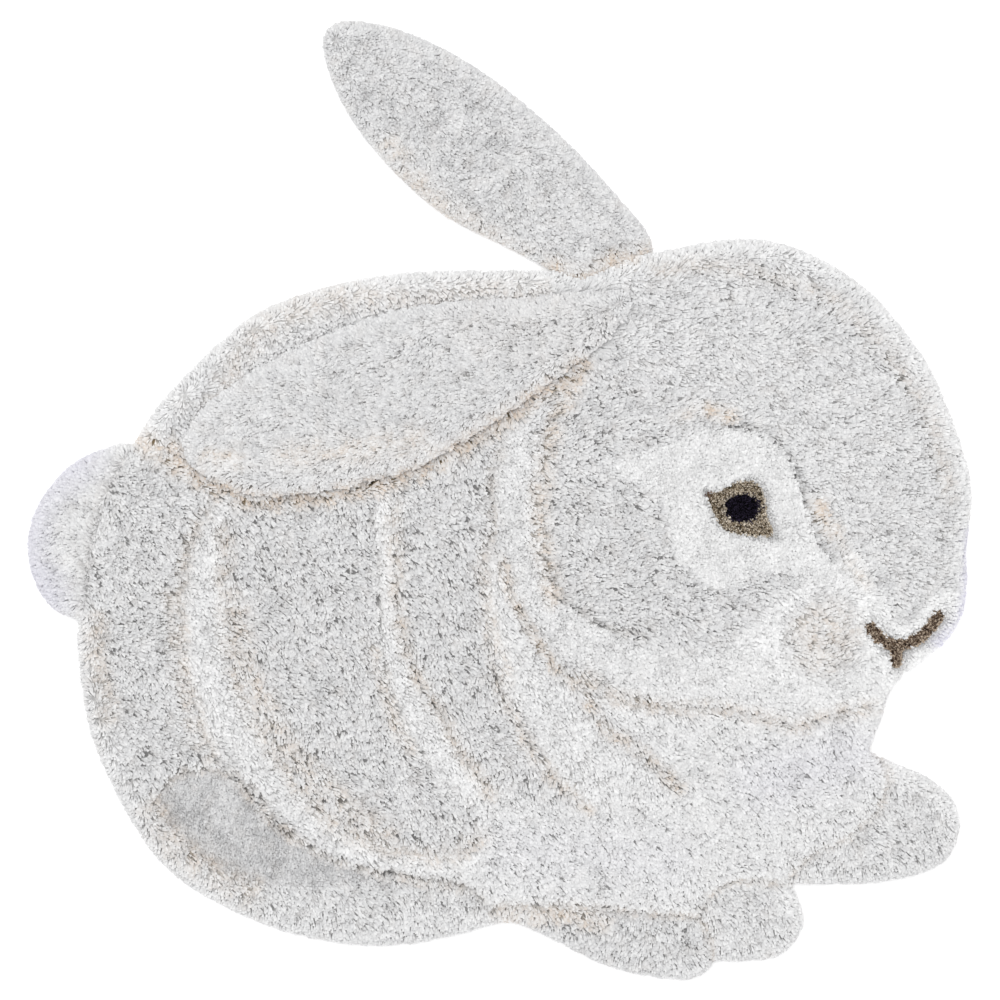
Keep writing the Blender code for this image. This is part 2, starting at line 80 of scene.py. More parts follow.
# Tufted areas in the order in which they are laid over the plain grey: how white the yarn is, from -1 for the
# low-sheared grey to 1, how much its gaps show, with fewer tips and dark specks of painted shade, and the
# outline.
YARN_AREAS = {
    "crown": (0.12, 0.75, (
        (150, 262), (300, 240), (400, 190), (470, 100), (500, 0), (512, -100), (480, -125), (440, -115),
        (415, -90), (385, -60), (350, 20), (300, 85), (200, 85), (140, 160),
    )),
    "paws": (0.22, 0.85, (
        (235, -455), (290, -436), (331, -432), (443, -332), (440, -300), (530, -300), (530, -450),
        (330, -550), (235, -550),
    )),
    "rear": (0.15, 1.0, (
        (-440, 70), (-390, 62), (-345, 30), (-330, -2), (-352, -40), (-372, -129), (-370, -188), (-340, -285),
        (-378, -318), (-402, -345), (-480, -330), (-520, -150), (-484, -60), (-452, 10),
    )),
    "hind_foot": (0.25, 0.9, (
        (-384, -384), (-347, -415), (-296, -436), (-223, -443), (-135, -451), (-62, -444), (-10, -467),
        (40, -480), (-20, -500), (-180, -540), (-320, -520), (-420, -440),
    )),
    "fore_foot": (0.05, 0.95, (
        (-10, -467), (48, -463), (122, -468), (188, -475), (228, -478), (240, -503), (244, -540), (150, -560),
        (20, -520),
    )),
    "belly": (0.5, 0.88, (
        (-18, -327), (40, -345), (107, -353), (188, -327), (204, -300), (215, -262), (232, -245),
        (300, -255), (335, -266), (372, -253), (430, -240), (424, -289), (441, -312), (443, -332),
        (427, -361), (396, -386), (356, -408), (331, -432), (290, -436), (254, -441), (237, -455),
        (228, -478), (188, -475), (122, -468), (48, -463), (-10, -463), (-30, -440), (-25, -400),
    )),
    "jaw": (0.6, 0.4, (
        (4, 76), (-7, 18), (1, -26), (10, -62), (23, -122), (50, -162), (85, -192), (122, -212),
        (190, -230), (252, -234), (300, -245), (335, -256), (372, -246), (430, -233), (446, -205),
        (418, -182), (400, -200), (366, -216), (330, -203), (300, -184), (283, -166), (261, -177),
        (217, -173), (158, -166), (122, -147), (70, -118), (48, -85), (37, -48), (34, 3), (37, 62),
        (30, 91),
    )),
    "shoulder_band": (0.5, 0.55, (
        (-8, -66), (-22, -92), (-20, -129), (-8, -173), (8, -217), (30, -261), (60, -308), (107, -349),
        (188, -327), (215, -290), (225, -248), (170, -238), (118, -216), (74, -184), (40, -142), (14, -104),
        (4, -74),
    )),
    "rib_band": (0.6, 0.4, (
        (-144, 10), (-146, -48), (-148, -100), (-146, -151), (-136, -202), (-118, -246), (-98, -288),
        (-76, -326), (-50, -348), (-18, -330), (-47, -290), (-69, -254), (-98, -217), (-117, -173),
        (-122, -129), (-124, -70), (-129, 3),
    )),
    "haunch_band": (0.6, 0.4, (
        (-330, -2), (-352, -40), (-366, -85), (-372, -129), (-370, -188), (-354, -239), (-342, -280),
        (-300, -318), (-266, -350), (-223, -384), (-164, -412), (-106, -426), (-25, -430), (-18, -400),
        (-62, -408), (-135, -397), (-194, -371), (-238, -327), (-260, -298), (-274, -268), (-300, -224),
        (-315, -188), (-318, -129), (-322, -85), (-326, -48), (-318, -4),
    )),
    "collar_strip": (0.05, 1.0, (
        (12, -120), (26, -152), (50, -194), (78, -216), (92, -240), (114, -272), (160, -302), (198, -336),
        (206, -324), (176, -284), (132, -252), (110, -224), (96, -194), (66, -176), (40, -138), (22, -110),
    )),
    "back": (0.22, 0.4, (
        (-396, 20), (-368, 95), (-305, 175), (-205, 242), (-100, 262), (60, 266), (130, 262), (112, 236),
        (20, 222), (-80, 212), (-172, 188), (-266, 142), (-328, 96), (-352, 56),
    )),
    "tail": (0.3, 0.6, (
        (-421, 66), (-443, 66), (-500, 40), (-542, -19), (-546, -75), (-520, -126), (-484, -141),
        (-478, -120), (-474, -70), (-458, -6), (-430, 52),
    )),
    "face": (0.85, 0.2, (
        (133, 47), (202, 69), (254, 82), (290, 76), (320, 58), (338, 25), (349, -12), (360, -48), (378, -70),
        (400, -89), (393, -98), (364, -96), (334, -85), (327, -78), (290, -85), (268, -100), (239, -100),
        (210, -74), (195, -48), (188, -12), (173, 10), (140, 25), (129, 36),
    )),
    "muzzle": (0.8, 0.15, (
        (408, -64), (425, -88), (428, -112), (438, -126), (462, -140), (486, -128), (508, -106),
        (524, -112), (524, -150), (506, -182), (470, -206), (450, -216), (420, -236), (368, -240),
        (300, -222), (258, -196), (262, -166), (284, -144), (304, -122), (326, -104), (348, -88),
        (376, -74),
    )),
    "muzzle_disc": (0.3, 0.8, (
        (368, -104), (392, -108), (410, -122), (420, -146), (418, -172), (404, -196), (382, -210),
        (356, -210), (334, -198), (320, -178), (318, -152), (328, -126), (346, -110),
    )),
    "lips": (0.95, 0.1, (
        (405, -108), (432, -108), (462, -146), (488, -116), (520, -104), (532, -124), (516, -162),
        (484, -190),
        (472, -210), (438, -210), (432, -188), (406, -150),
    )),
    "ear_shade": (-0.15, 1.1, (
        (-60, 226), (60, 234), (118, 222), (150, 190), (60, 158), (-40, 172),
    )),
    "hock_hollow": (-0.6, 0.25, (
        (-398, -342), (-376, -318), (-336, -308), (-304, -326), (-274, -364), (-244, -392), (-206, -413),
        (-148, -434), (-223, -443), (-280, -440), (-335, -422), (-384, -374),
    )),
}
AREA_EDGE = 8.0  # width over which one yarn gives way to the other

# The areas that reach over the ears
FLAP_AREAS = {"upper_ear": (), "lower_ear": ("back", "ear_shade")}

# The body's pile as separate pieces. A spot belongs to the first area that holds it, and otherwise to the
# last one. The numbers are the angle at which the yarn lies, how much it lies, how densely it grows, and
# how much it leans together in clumps.
BODY_AREAS = {
    "hollow": (-10, 0.5, 0.9, 0.4, YARN_AREAS["hock_hollow"][2]),
    "face": (-15, 0.6, 0.9, 0.35, YARN_AREAS["face"][2]),
    "jaw": (-35, 0.7, 0.75, 0.7, YARN_AREAS["jaw"][2]),
    "belly": (-50, 0.8, 0.75, 0.8, YARN_AREAS["belly"][2]),
    "tail": (175, 0.8, 0.75, 0.6, YARN_AREAS["tail"][2]),
    "crown": (-5, 0.9, 0.52, 1.0, (
        (56, 330), (30, 91), (37, 62), (34, 3), (37, -48), (48, -85), (70, -118), (122, -147), (158, -166),
        (217, -173), (261, -177), (283, -166), (330, -203), (366, -212), (420, -185), (600, -230),
        (600, 330),
    )),
    "feet": (-70, 0.8, 0.55, 1.0, (
        (-600, -345), (-336, -292), (-262, -374), (-164, -422), (-47, -441), (-10, -467), (228, -478),
        (237, -455), (290, -436), (331, -432), (443, -332), (420, -270), (600, -270), (600, -600),
        (-600, -600),
    )),
    "shoulder": (-55, 0.9, 0.5, 1.0, (
        (-142, 320), (-142, 10), (-138, -100), (-124, -202), (-87, -283), (-47, -342), (-30, -440),
        (-10, -467), (300, -467), (300, 320),
    )),
    "ribs": (-48, 0.9, 0.5, 1.0, (
        (-318, 320), (-318, -4), (-322, -85), (-315, -188), (-274, -268), (-238, -327), (-135, -397),
        (-10, -430), (0, 320),
    )),
    "haunch": (-25, 0.9, 0.5, 1.0, None),
}

# How the yarn lies on the ears and the dark patches: the same four numbers as for the body's areas
LAID = {
    "upper_ear": (-38, 0.85, 0.8, 0.9),
    "lower_ear": (188, 0.95, 0.75, 0.9),
    "eye_ring": (-20, 0.15, 1.0, 0.3),
    "eye_pupil": (-20, 0.15, 1.0, 0.3),
    "mouth": (-20, 0.15, 1.0, 0.3),
}

# Lines where two tufted areas meet: how warm the yarn is along them, how wide that is, how open the pile is
# on the line itself, which also darkens it there with painted shade, and the line's points.
SEAMS = {
    "jaw": (0.5, 16, 0.45, (
        (96, -204), (122, -221), (147, -228), (190, -235), (252, -237), (300, -248), (335, -259),
        (372, -246),
        (425, -235),
    )),
    "cheek": (0.15, 6, 0.6, (
        (49, 72), (45, 18), (48, -48), (57, -88), (80, -123), (122, -147), (166, -162),
    )),
    "collar": (0.65, 12, 0.45, (
        (-2, -66), (8, -96), (16, -118), (31, -144), (58, -186), (84, -206), (100, -232), (122, -262),
        (168, -292), (202, -330),
    )),
    "shoulder": (0.35, 12, 0.6, (
        (2, 69), (-14, 18), (-12, -34), (-22, -66), (-16, -150), (-4, -205), (24, -268), (62, -317),
        (98, -350),
    )),
    "rib_rear_side": (0.1, 6, 0.8, (
        (-147, -4), (-142, -85), (-138, -158), (-127, -217), (-105, -268), (-76, -323),
    )),
    "rib_front_side": (0.5, 16, 0.6, (
        (-124, -4), (-120, -122), (-98, -202), (-69, -246), (-39, -298), (-10, -334),
    )),
    "haunch_rear_side": (0.45, 14, 0.6, (
        (-340, -12), (-363, -56), (-370, -122), (-366, -188), (-350, -247), (-336, -292),
    )),
    "haunch_front_side": (0.4, 20, 0.4, (
        (-318, -34), (-318, -122), (-306, -202), (-280, -256), (-245, -312), (-200, -364), (-134, -397),
        (-62, -406), (-22, -384),
    )),
    "hock": (0.25, 9, 0.9, (
        (-336, -292), (-282, -334), (-262, -374), (-223, -395), (-164, -422), (-47, -441), (-10, -472),
    )),
    "belly": (0.4, 9, 0.7, (
        (-10, -467), (48, -463), (122, -468), (188, -475), (228, -478), (240, -503), (244, -527),
    )),
    "near_paw": (0.4, 9, 0.8, ((232, -470), (237, -455), (254, -441), (290, -436), (336, -440))),
    "hollow": (0.4, 8, 0.8, (
        (-402, -345), (-376, -318), (-336, -308), (-300, -326), (-270, -360), (-236, -388),
    )),
    "far_paw": (0.35, 9, 0.7, (
        (331, -432), (356, -408), (396, -386), (427, -361), (443, -332), (441, -312), (426, -295),
    )),
    "cheek_fold": (0.2, 6, 1.5, ((70, -116), (100, -136), (130, -148), (162, -154))),
    "brow": (0.0, 6, 1.0, ((254, 87), (298, 80), (331, 50), (349, -5), (364, -48), (382, -75))),
    # Painted shadow along the foot of the lower ear's lower edge
    "under_ear": (1.0, 20, 0.7, (
        (92, 158), (66, 138), (-18, 81), (-94, 36), (-151, 18), (-230, 3), (-290, 4), (-345, 27),
    )),
    "ear_root": (1.3, 28, 0.9, ((60, 262), (84, 252), (108, 256), (127, 267), (143, 276), (164, 277))),
    "tail": (0.1, 6, 0.1, ((-433, 52), (-461, -6), (-477, -70), (-482, -128))),
}

# Warm and cool tints elsewhere in the yarn: how strong, how wide, and the line along which they lie.
WARM_LINES = {
    "rug_body": (
        (0.3, 16, (
            (176, 262), (255, 268), (342, 248), (400, 212), (452, 160), (488, 100), (505, 47), (512, 0),
        )),
        (1.1, 16, ((362, -8), (380, -40))),
        (0.35, 12, ((380, -40), (398, -70), (416, -100))),
        (0.4, 12, ((196, 92), (228, 102), (264, 96))),
        (1.1, 13, ((234, 104), (264, 98))),
        (0.45, 18, ((-464, -135), (-462, -190), (-450, -250))),
        (0.45, 24, ((-309, -115), (-290, -190), (-262, -250), (-222, -306), (-170, -356), (-130, -386))),
        (0.9, 30, ((-330, 20), (-368, 44), (-400, 62))),
        (0.3, 22, ((-345, 90), (-287, 180), (-201, 226), (-86, 236), (40, 240))),
        (1.2, 15, ((70, 268), (110, 270), (150, 276))),
        (0.5, 24, ((-400, -352), (-375, -392), (-330, -424), (-287, -448))),
        (0.42, 40, (
            (386, -150), (384, -168), (366, -176), (352, -164), (356, -146), (372, -140), (386, -150),
        )),
        (0.35, 14, ((-385, -110), (-372, -200), (-352, -280))),
        (0.6, 20, ((86, 144), (52, 60), (44, -29), (58, -110))),
        (0.45, 14, ((-144, -173), (-128, -236), (-106, -288))),
        (0.35, 14, ((-22, -71), (-10, -150), (6, -205))),
        (0.6, 20, ((0, -472), (60, -474), (118, -484))),
        (0.35, 10, ((-310, -318), (-250, -385), (-160, -424), (-44, -445))),
        (0.50, 14, ((22, -273), (60, -315), (100, -352))),
    ),
    "upper_ear": ((0.4, 24, ((71, 262), (9, 292), (-50, 330), (-90, 362), (-125, 410))),),
    "lower_ear": (
        (0.4, 28, ((-240, 50), (-160, 58), (-90, 72))),
        (0.5, 20, ((-330, 52), (-296, 44))),
    ),
}
COOL_LINES = (
    (0.7, 16, ((538, -40), (536, -90), (528, -140), (505, -166))),
    (0.35, 50, ((-480, 50), (-530, 5), (-542, -60), (-520, -110))),
    (0.12, 60, ((400, -290), (300, -320))),
    (0.06, 60, ((10, -400), (190, -410))),
)

# Noises that vary the pile from place to place: how strong each is, the size of its lumps in millimetres, and
# its seed
VARIATIONS = {
    "area_edge": (5.0, 9, 3),
    "warmth": (1.5, 12, 8),
    "mottle": (0.2, 15, 21),
    "seam": (1.6, 6, 12),
    "turn": (1.3, 60, 1),
    "small_turn": (0.5, 18, 2),
    "lying": (0.5, 25, 4),
    "at_flap": (1.3, 14, 15),
    "at_mouth": (1.2, 5, 16),
    "flap_rim": (0.7, 9, 7),
    "patch_edge": (1.0, 3.5, 7),
}

# Bands along an edge or a line, in millimetres: up to where they have their full effect, and where it ends
# Painted light on the rim's side towards the lamp: whiter yarn in this band, fewer dark specks in the next
LIT_RIM_BAND = (10, 30)
LIT_RIM_SPECKLESS = (13.2, 35.2)
# Painted light: fewer dark specks at the foot of the lower ear's upper edge
LIGHT_AT_FLAP_FOOT = (2.4, 14.4)
# Painted shade on the outermost row of yarn
SHADED_RIM = (1.5, 4.0)
CLOSED_RIM = (2, 6)
# Painted shade along the eye ring's outline
SHADED_RING_OUTLINE = (0.5, 3.0)
PLUM_CORNER = (2.7, 11.7)

# What the bands and lines do to the colours
RIM_PAINTED_LIGHT = 0.6  # the least whiteness of the rim on its side towards the lamp, a painted light
RIM_LIGHT = 0.7  # how far it reaches round from the rug's upper side
RIM_EVENED = 0.7  # the share of the painted dark specks that is gone in the even bands, which is painted light
RIM_SHADE = 0.55  # how much darker the outermost row of yarn is, by the measure of an open seam
GROOVE = 4.5  # millimetres from a seam's line within which the pile opens
GROOVE_OPEN = 0.7  # how open it is there on average, and so how much painted shade darkens it
WARMTH = 0.9  # how much of a warm line's tint the yarn takes on average
WARMTH_RANGE = (0.15, 1.6)  # the least and the most that it takes of it
MOST_WARMTH = 1.1
WARM_EVENED = 0.4  # the share of the specks that is gone along the warm lines
WARM_WHITENESS = {"rug_body": 0.3, "upper_ear": 0.8, "lower_ear": 0.8}  # how much whiter it is along them
GREYEST = -0.3  # below this whiteness the warm lines whiten nothing
BODY_SPECKS = 1.1  # how much the gaps show as dark specks, outside the tufted areas
EAR_SPECKS = 0.82
MOST_SPECKS = 1.2
DYED_SPECKS = {"eye_ring": 0.7, "eye_pupil": 0.0, "mouth": 0.7}
PLUM_SPOT = (235, 8)  # the eye's rear corner

# How the yarn leans, grows and reaches
LAID_FLAT = 2.0  # how much the yarn lies rather than stands
PARTING = 1.2  # how far the yarn leans away from a seam beside it
SEAM_UPRIGHT = 0.6  # how much less it lies in a seam
SEAM_THINNED = 0.6  # how much thinner it grows there
RIM_COMB = 26.0  # millimetres from the edge within which the yarn leans outward
PATCH_COMB = 6.0  # and the same for the dark patches
RIM_LEAN = {"eye_ring": 0.5}  # how much it leans at the edge, where that is less than 1
RIM_TUFTS = 0.35  # how much more densely it grows at the edge
RIM_CLUMPING = 0.6  # how much less it clumps there
RIM_FRINGE = 2.2  # millimetres by which tips may stand out beyond the cloth's outline
BACK_FRINGE = 5.0  # and by how much more at the lower ear's upper edge, where they reach over the back
SUNK_ROOT = 0.6  # millimetres of a tip that are sunk in the mass of yarn
BARE_FOOT = 1.2  # millimetres above the floor where no tips grow
LOWEST_SLOPE = -0.35  # and they grow on no face that looks down more than this
LOWEST_TIP = 0.2  # millimetres above the floor, below which no tip hangs
MOST_SLANTED = 2.0  # a slanting tip is longer than an upright one, up to this many times
LEAST_SLANT = 0.2  # the least slant that counts where a tip might reach over the outline
BESIDE_FLAP = 12.0  # millimetres from the lower ear's edge in which the body's yarn stands up against it
FLAP_LONGER = 1.4  # and by what share it is longer there
UNDER_FLAP = 16.0  # millimetres inside the lower ear's edge from which the pile under it can't be seen
BESIDE_PATCH = 10.0  # millimetres round the eye and the mouth in which the yarn stands upright
PATCH_LONGER = 0.4  # and by what share it is longer there
BY_EYE = -0.25  # how far it leans, less than nothing being towards the eye and so over its edge
BY_MOUTH = -0.5  # the same for the mouth
MOUTH_UNEVEN = 0.6  # by how much more or less than that
MOUTH_SIDE = (400, -80)  # the mouth is to the right of and below this spot
POCKET_DEPTH = 8.0  # the least depth below the pile's top at which no tips grow in a pocket
# By what share the tips at a dark patch's edge are longer than the others, and how uneven they are
PATCH_EDGE = {"mouth": (-0.9, 1.6), "eye_ring": (-0.2, 0.7), "eye_pupil": (0.5, 2.6)}
RING_INSIDE = (0.4, 2.4)  # the same for the ring's inner edge
BY_PUPIL = 7.0  # millimetres from the pupil's edge in which that inner edge lies
EDGE_RANGE = (-0.8, 1.6)  # the least and the most by which such tips are longer

# One tip of yarn
CLUMP = 8.0  # millimetres across a clump of yarn that leans together
CLUMPING = 2.8  # how strongly it does so
YARN_FLATNESS = 0.5  # how thick a lying tip is, as a share of its width
TIP_SHIFT = 0.3  # how far to one side a tip's end stands, in widths of yarn
TIP_FACES = ((0, 1, 2), (0, 3, 1), (0, 2, 3), (1, 3, 2))
TIP_CORNERS = 12  # face corners of one tip
STRAND_MAP = "OFBake"  # the layout that gives each tip a cell of its own, for the exporter
CLOTH_STRAY = 0.35  # how far each tip strays from the way of those round it
PATCH_STRAY = 0.6

# The pile's node tree: its inputs, what it reads from the mesh, and what it draws at random for each tip, by
# the least, the most and the shift of the seed
PILE_INPUTS = {
    "Geometry": "Geometry", "Tip": "Object", "Area": "Int", "Nearest": "Float", "Most Tufts": "Float",
    "Yarn": "Float", "Stray": "Float", "Seed": "Int", "Finish": "Material",
}
HELD = {
    "area": "INT", "speck": "FLOAT", "tufts": "FLOAT", "lean": "FLOAT_VECTOR", "clumped": "FLOAT",
    "reach": "FLOAT",
}
DRAWN = {
    "astray": ((-1, -1, -0.4), (1, 1, 0.4), 1), "spin": (-0.35, 0.35, 2), "width": (0.8, 1.2, 3),
    "length": (0.65, 1.2, 4), "tone": (0.0, 1.0, 6),
}
SPENT = ("lean", "reach", "tufts", "clumped", "area")  # what no finished piece needs

# Colours of the yarns, light and dark, and of what lies between them
WHITE_YARN = ("#F5F5F5", "#E1E1E1")
GREY_YARN = ("#E5E5E5", "#CFCFD0")
LOW_YARN = "#E7E4E2"
WARM_YARN = "#D8CABC"
COOL_YARN = "#CFCDE0"
# The lower pile's colours, seen in the gaps; the warm and dyed ones are darker than their tips, with painted
# shade
WHITE_DEPTH = "#E8E8E8"
GREY_DEPTH = "#D9D8D8"
WARM_DEPTH = "#86765C"
TAUPE_YARN = ("#EEE3D3", "#9C8C74")
TAUPE_DEPTH = "#625645"
PLUM_YARN = "#74534A"
MOUTH_YARN = ("#D8C6B2", "#6C5846")
MOUTH_DEPTH = "#54443A"
BLACK_YARN = ("#322C3E", "#030206")
BLACK_DEPTH = "#020203"
CANVAS = ("#D9D0BE", "#B9AE98")
FLOOR = "#FDFDFD"

# Patterns in the yarn and the canvas, in millimetres
SPECK = 4.2  # size of the noise that leaves gaps in the pile, with fewer tips and painted dark shade
SPECK_RANGE = (0.37, 0.53)  # the noise's values from the middle of a gap to its edge
GAP_SHADE_TONE = 0.27  # how dark the painted shade in the middle of a gap is
SPECK_ANGLE = math.radians(50)  # turns the noise so that its X runs along most of the yarn
SPECK_STRETCH = (0.78, 1.25, 1.0)  # and this makes its lumps longer in X
NOISE_RANGE = (0.3, 0.7)  # the values that most of any noise has
COTTON_FIBRES = 1.1  # the fine mottle of the fibres in a yarn
DYED_FIBRES = 0.9
PACKED_YARN = 3.4  # across the tufts that are seen end on in the gaps, with painted shade at their edges
WEAVE_PITCH = 2.4  # between canvas threads, about twice the real pitch so that the weave shows
WEAVE_RELIEF = 0.4
STAINS = 60.0  # lumps of uneven shade in the canvas
FLOOR_SHADES = 400.0

# The room, in metres and watts
ROOM_LIGHT = 0.58
LAMP_SIZE = 2.4
LAMP_POWER = 95
LAMP_PLACE = (-0.2, 0.4, 3.4)
LIGHT_BOUNCES = 8  # white yarn passes light on many times
FLOOR_REACH = 4.0
FLOOR_DROP = 0.5  # millimetres from the rug's underside down to the floor
PHOTO_WIDTH = 1.15  # metres of floor across the photograph
LENS = 85.0
SENSOR = 36.0


def linear(code):
    """The linear colour, with alpha, of an sRGB code."""
    shares = [int(code[at:at + 2], 16) / 255 for at in (1, 3, 5)]
    return (*(s / 12.92 if s <= 0.04045 else ((s + 0.055) / 1.055) ** 2.4 for s in shares), 1.0)


def add(tree, kind, inputs=None, **settings):
    """Adds a node with its settings. An input that is a socket is linked, and any other value is set."""
    node = tree.nodes.new(kind)
    for name, value in settings.items():
        setattr(node, name, value)
    for name, value in (inputs or {}).items():
        if isinstance(value, bpy.types.NodeSocket):
            tree.links.new(value, node.inputs[name])
        else:
            node.inputs[name].default_value = value
    return node


def blank_material(name, roughness, **constants):
    """A new material, its node tree and its shader, with the shader's constants set."""
    material = bpy.data.materials.new(name)
    material.use_nodes = True
    tree = material.node_tree
    shader = tree.nodes["Principled BSDF"]
    shader.inputs["Roughness"].default_value = roughness
    for socket, value in constants.items():
        shader.inputs[socket.replace("_", " ")].default_value = value
    return material, tree, shader


def layered(tree, colour, number, span=(0, 1), shares=(0, 1), other=None, strength=1.0):
    """The colour as it gives way to another one, or loses light where no other is given, with a number.

    The number and the strength are sockets or the names of attributes. The span holds the number's values at
    both ends, and the shares say how much there is of the other colour, or of the light, at each end.
    """
    if isinstance(number, str):
        number = add(tree, "ShaderNodeAttribute", attribute_name=number).outputs["Fac"]
    if isinstance(strength, str):
        strength = add(tree, "ShaderNodeAttribute", attribute_name=strength).outputs["Fac"]
    inputs = {0: number, 1: span[0], 2: span[1], 3: shares[0], 4: shares[1]}
    share = add(tree, "ShaderNodeMapRange", inputs).outputs[0]
    if other is None:
        inputs, way = {0: strength, 6: colour, 7: share}, "MULTIPLY"
    else:
        inputs, way = {0: share, 6: colour, 7: other}, "MIX"
    return add(tree, "ShaderNodeMix", inputs, data_type="RGBA", blend_type=way).outputs[2]


def drawn_out(tree, place):
    """A place whose noise has lumps longer in the way in which most of the yarn lies."""
    inputs = {"Vector": place, "Angle": SPECK_ANGLE}
    turned = add(tree, "ShaderNodeVectorRotate", inputs, rotation_type="Z_AXIS").outputs[0]
    inputs = {0: turned, 1: SPECK_STRETCH}
    return add(tree, "ShaderNodeVectorMath", inputs, operation="MULTIPLY").outputs[0]


def gaps_at(tree, place):
    """The noise whose low values are the gaps in the pile."""
    inputs = {"Vector": drawn_out(tree, place), "Scale": 1 / (SPECK * MM), "Detail": 1.0}
    return add(tree, "ShaderNodeTexNoise", inputs).outputs["Fac"]


def noise_at(tree, size, detail=2.0):
    """A noise from 0 to 1 whose lumps have a real size in millimetres."""
    place = add(tree, "ShaderNodeTexCoord").outputs["Object"]
    inputs = {"Vector": place, "Scale": 1 / (size * MM), "Detail": detail}
    return add(tree, "ShaderNodeTexNoise", inputs).outputs["Fac"]


def cotton_tips():
    """Cut tips of carded cotton, undyed and pale grey: matt, softly mottled, darker towards the root with
    painted shade, and with painted shade where the pile opens and on the outermost row.
    """
    material, tree, shader = blank_material("cotton_yarn_tips", 0.95, Sheen_Weight=0.12, Sheen_Roughness=0.6)
    white = layered(tree, linear(WHITE_YARN[1]), "tone", other=linear(WHITE_YARN[0]))
    grey = layered(tree, linear(GREY_YARN[1]), "tone", other=linear(GREY_YARN[0]))
    colour = layered(tree, grey, "white", (-1, 0), (1, 0), linear(LOW_YARN))
    colour = layered(tree, colour, "white", other=white)

    # The darker a tip is, the more of the warm tint it takes.
    warm = add(tree, "ShaderNodeAttribute", attribute_name="warm").outputs["Fac"]
    tone = add(tree, "ShaderNodeAttribute", attribute_name="tone").outputs["Fac"]
    taken = add(tree, "ShaderNodeMapRange", {0: tone, 1: 0.1, 2: 0.8, 3: 1.0, 4: 0.3}).outputs[0]
    warm = add(tree, "ShaderNodeMath", {0: warm, 1: taken}, operation="MULTIPLY").outputs[0]
    colour = layered(tree, colour, warm, other=linear(WARM_YARN))
    colour = layered(tree, colour, "cool", other=linear(COOL_YARN))

    colour = layered(tree, colour, noise_at(tree, COTTON_FIBRES), NOISE_RANGE, (0.95, 1.0))
    # Painted shade: darker towards the root, where the tips shade each other
    colour = layered(tree, colour, "along", (0.1, 0.75), (0.9, 1.0))
    # Painted shade where the pile opens at a seam and on the outermost row
    colour = layered(tree, colour, "open", (0.2, 1.0), (1.0, 0.7))
    tree.links.new(colour, shader.inputs["Base Color"])
    return material


def cotton_depth():
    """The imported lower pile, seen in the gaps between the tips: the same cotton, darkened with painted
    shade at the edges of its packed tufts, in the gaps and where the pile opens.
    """
    material, tree, shader = blank_material("cotton_pile_depth", 1.0)
    colour = layered(tree, linear(GREY_DEPTH), "white", (-1, 0), (1, 0), linear(LOW_YARN))
    colour = layered(tree, colour, "white", other=linear(WHITE_DEPTH))
    colour = layered(tree, colour, "warm", other=linear(WARM_DEPTH))
    colour = layered(tree, colour, "cool", other=linear(COOL_YARN))
    place = add(tree, "ShaderNodeTexCoord").outputs["Object"]
    inputs = {"Vector": place, "Scale": 1 / (PACKED_YARN * MM)}
    tufts = add(tree, "ShaderNodeTexVoronoi", inputs, feature="DISTANCE_TO_EDGE").outputs["Distance"]
    # Painted shade at the edges of the packed tufts
    colour = layered(tree, colour, tufts, (0.02, 0.2), (0.9, 1.0))
    # Painted shade in the middle of the gaps
    colour = layered(tree, colour, gaps_at(tree, place), SPECK_RANGE, (GAP_SHADE_TONE, 1.0), strength="speck")
    # Painted shade where the pile opens
    colour = layered(tree, colour, "open", (0.1, 0.9), (1.0, 0.3))
    tree.links.new(colour, shader.inputs["Base Color"])
    return material


def dyed_tips(name, colours):
    """Cut tips of dyed cotton: matt and dark, each yarn of its own depth of dye, with painted shade towards
    the root and along the eye ring's outline.
    """
    material, tree, shader = blank_material(name, 0.95, Specular_IOR_Level=0.1)
    colour = layered(tree, linear(colours[1]), "tone", other=linear(colours[0]))
    colour = layered(tree, colour, "cool", other=linear(PLUM_YARN))
    # Painted shade along the eye ring's outline
    colour = layered(tree, colour, "open", shares=(1.0, 0.35))
    # Painted shade: darker towards the root
    colour = layered(tree, colour, "along", (0.1, 0.8), (0.6, 1.0))
    colour = layered(tree, colour, noise_at(tree, DYED_FIBRES), NOISE_RANGE, (0.8, 1.0))
    tree.links.new(colour, shader.inputs["Base Color"])
    return material


def dyed_depth(name, code):
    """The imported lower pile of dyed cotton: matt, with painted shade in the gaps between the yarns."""
    material, tree, shader = blank_material(name, 1.0, Specular_IOR_Level=0.1)
    place = add(tree, "ShaderNodeTexCoord").outputs["Object"]
    # Painted shade in the gaps between the yarns
    colour = layered(tree, linear(code), gaps_at(tree, place), SPECK_RANGE, (GAP_SHADE_TONE, 1.0))
    tree.links.new(colour, shader.inputs["Base Color"])
    return material


def canvas_back():
    """Plain-woven canvas under a thin coat of latex: beige, with a low weave that the latex softens."""
    material, tree, shader = blank_material("latexed_canvas", 0.75)
    place = add(tree, "ShaderNodeTexCoord").outputs["Object"]
    threads = []
    for way in ("X", "Y"):
        inputs = {"Vector": place, "Scale": math.pi / (WEAVE_PITCH * MM) / 10, "Distortion": 0.6}
        threads.append(add(tree, "ShaderNodeTexWave", inputs, bands_direction=way).outputs["Fac"])
    weave = add(tree, "ShaderNodeMath", {0: threads[0], 1: threads[1]}, operation="MULTIPLY").outputs[0]
    colour = layered(tree, linear(CANVAS[1]), weave, other=linear(CANVAS[0]))
    colour = layered(tree, colour, noise_at(tree, STAINS, 3.0), NOISE_RANGE, (0.9, 1.0))
    tree.links.new(colour, shader.inputs["Base Color"])
    bump = add(tree, "ShaderNodeBump", {"Height": weave, "Distance": WEAVE_RELIEF * MM, "Strength": 0.8})
    tree.links.new(bump.outputs[0], shader.inputs["Normal"])
    return material


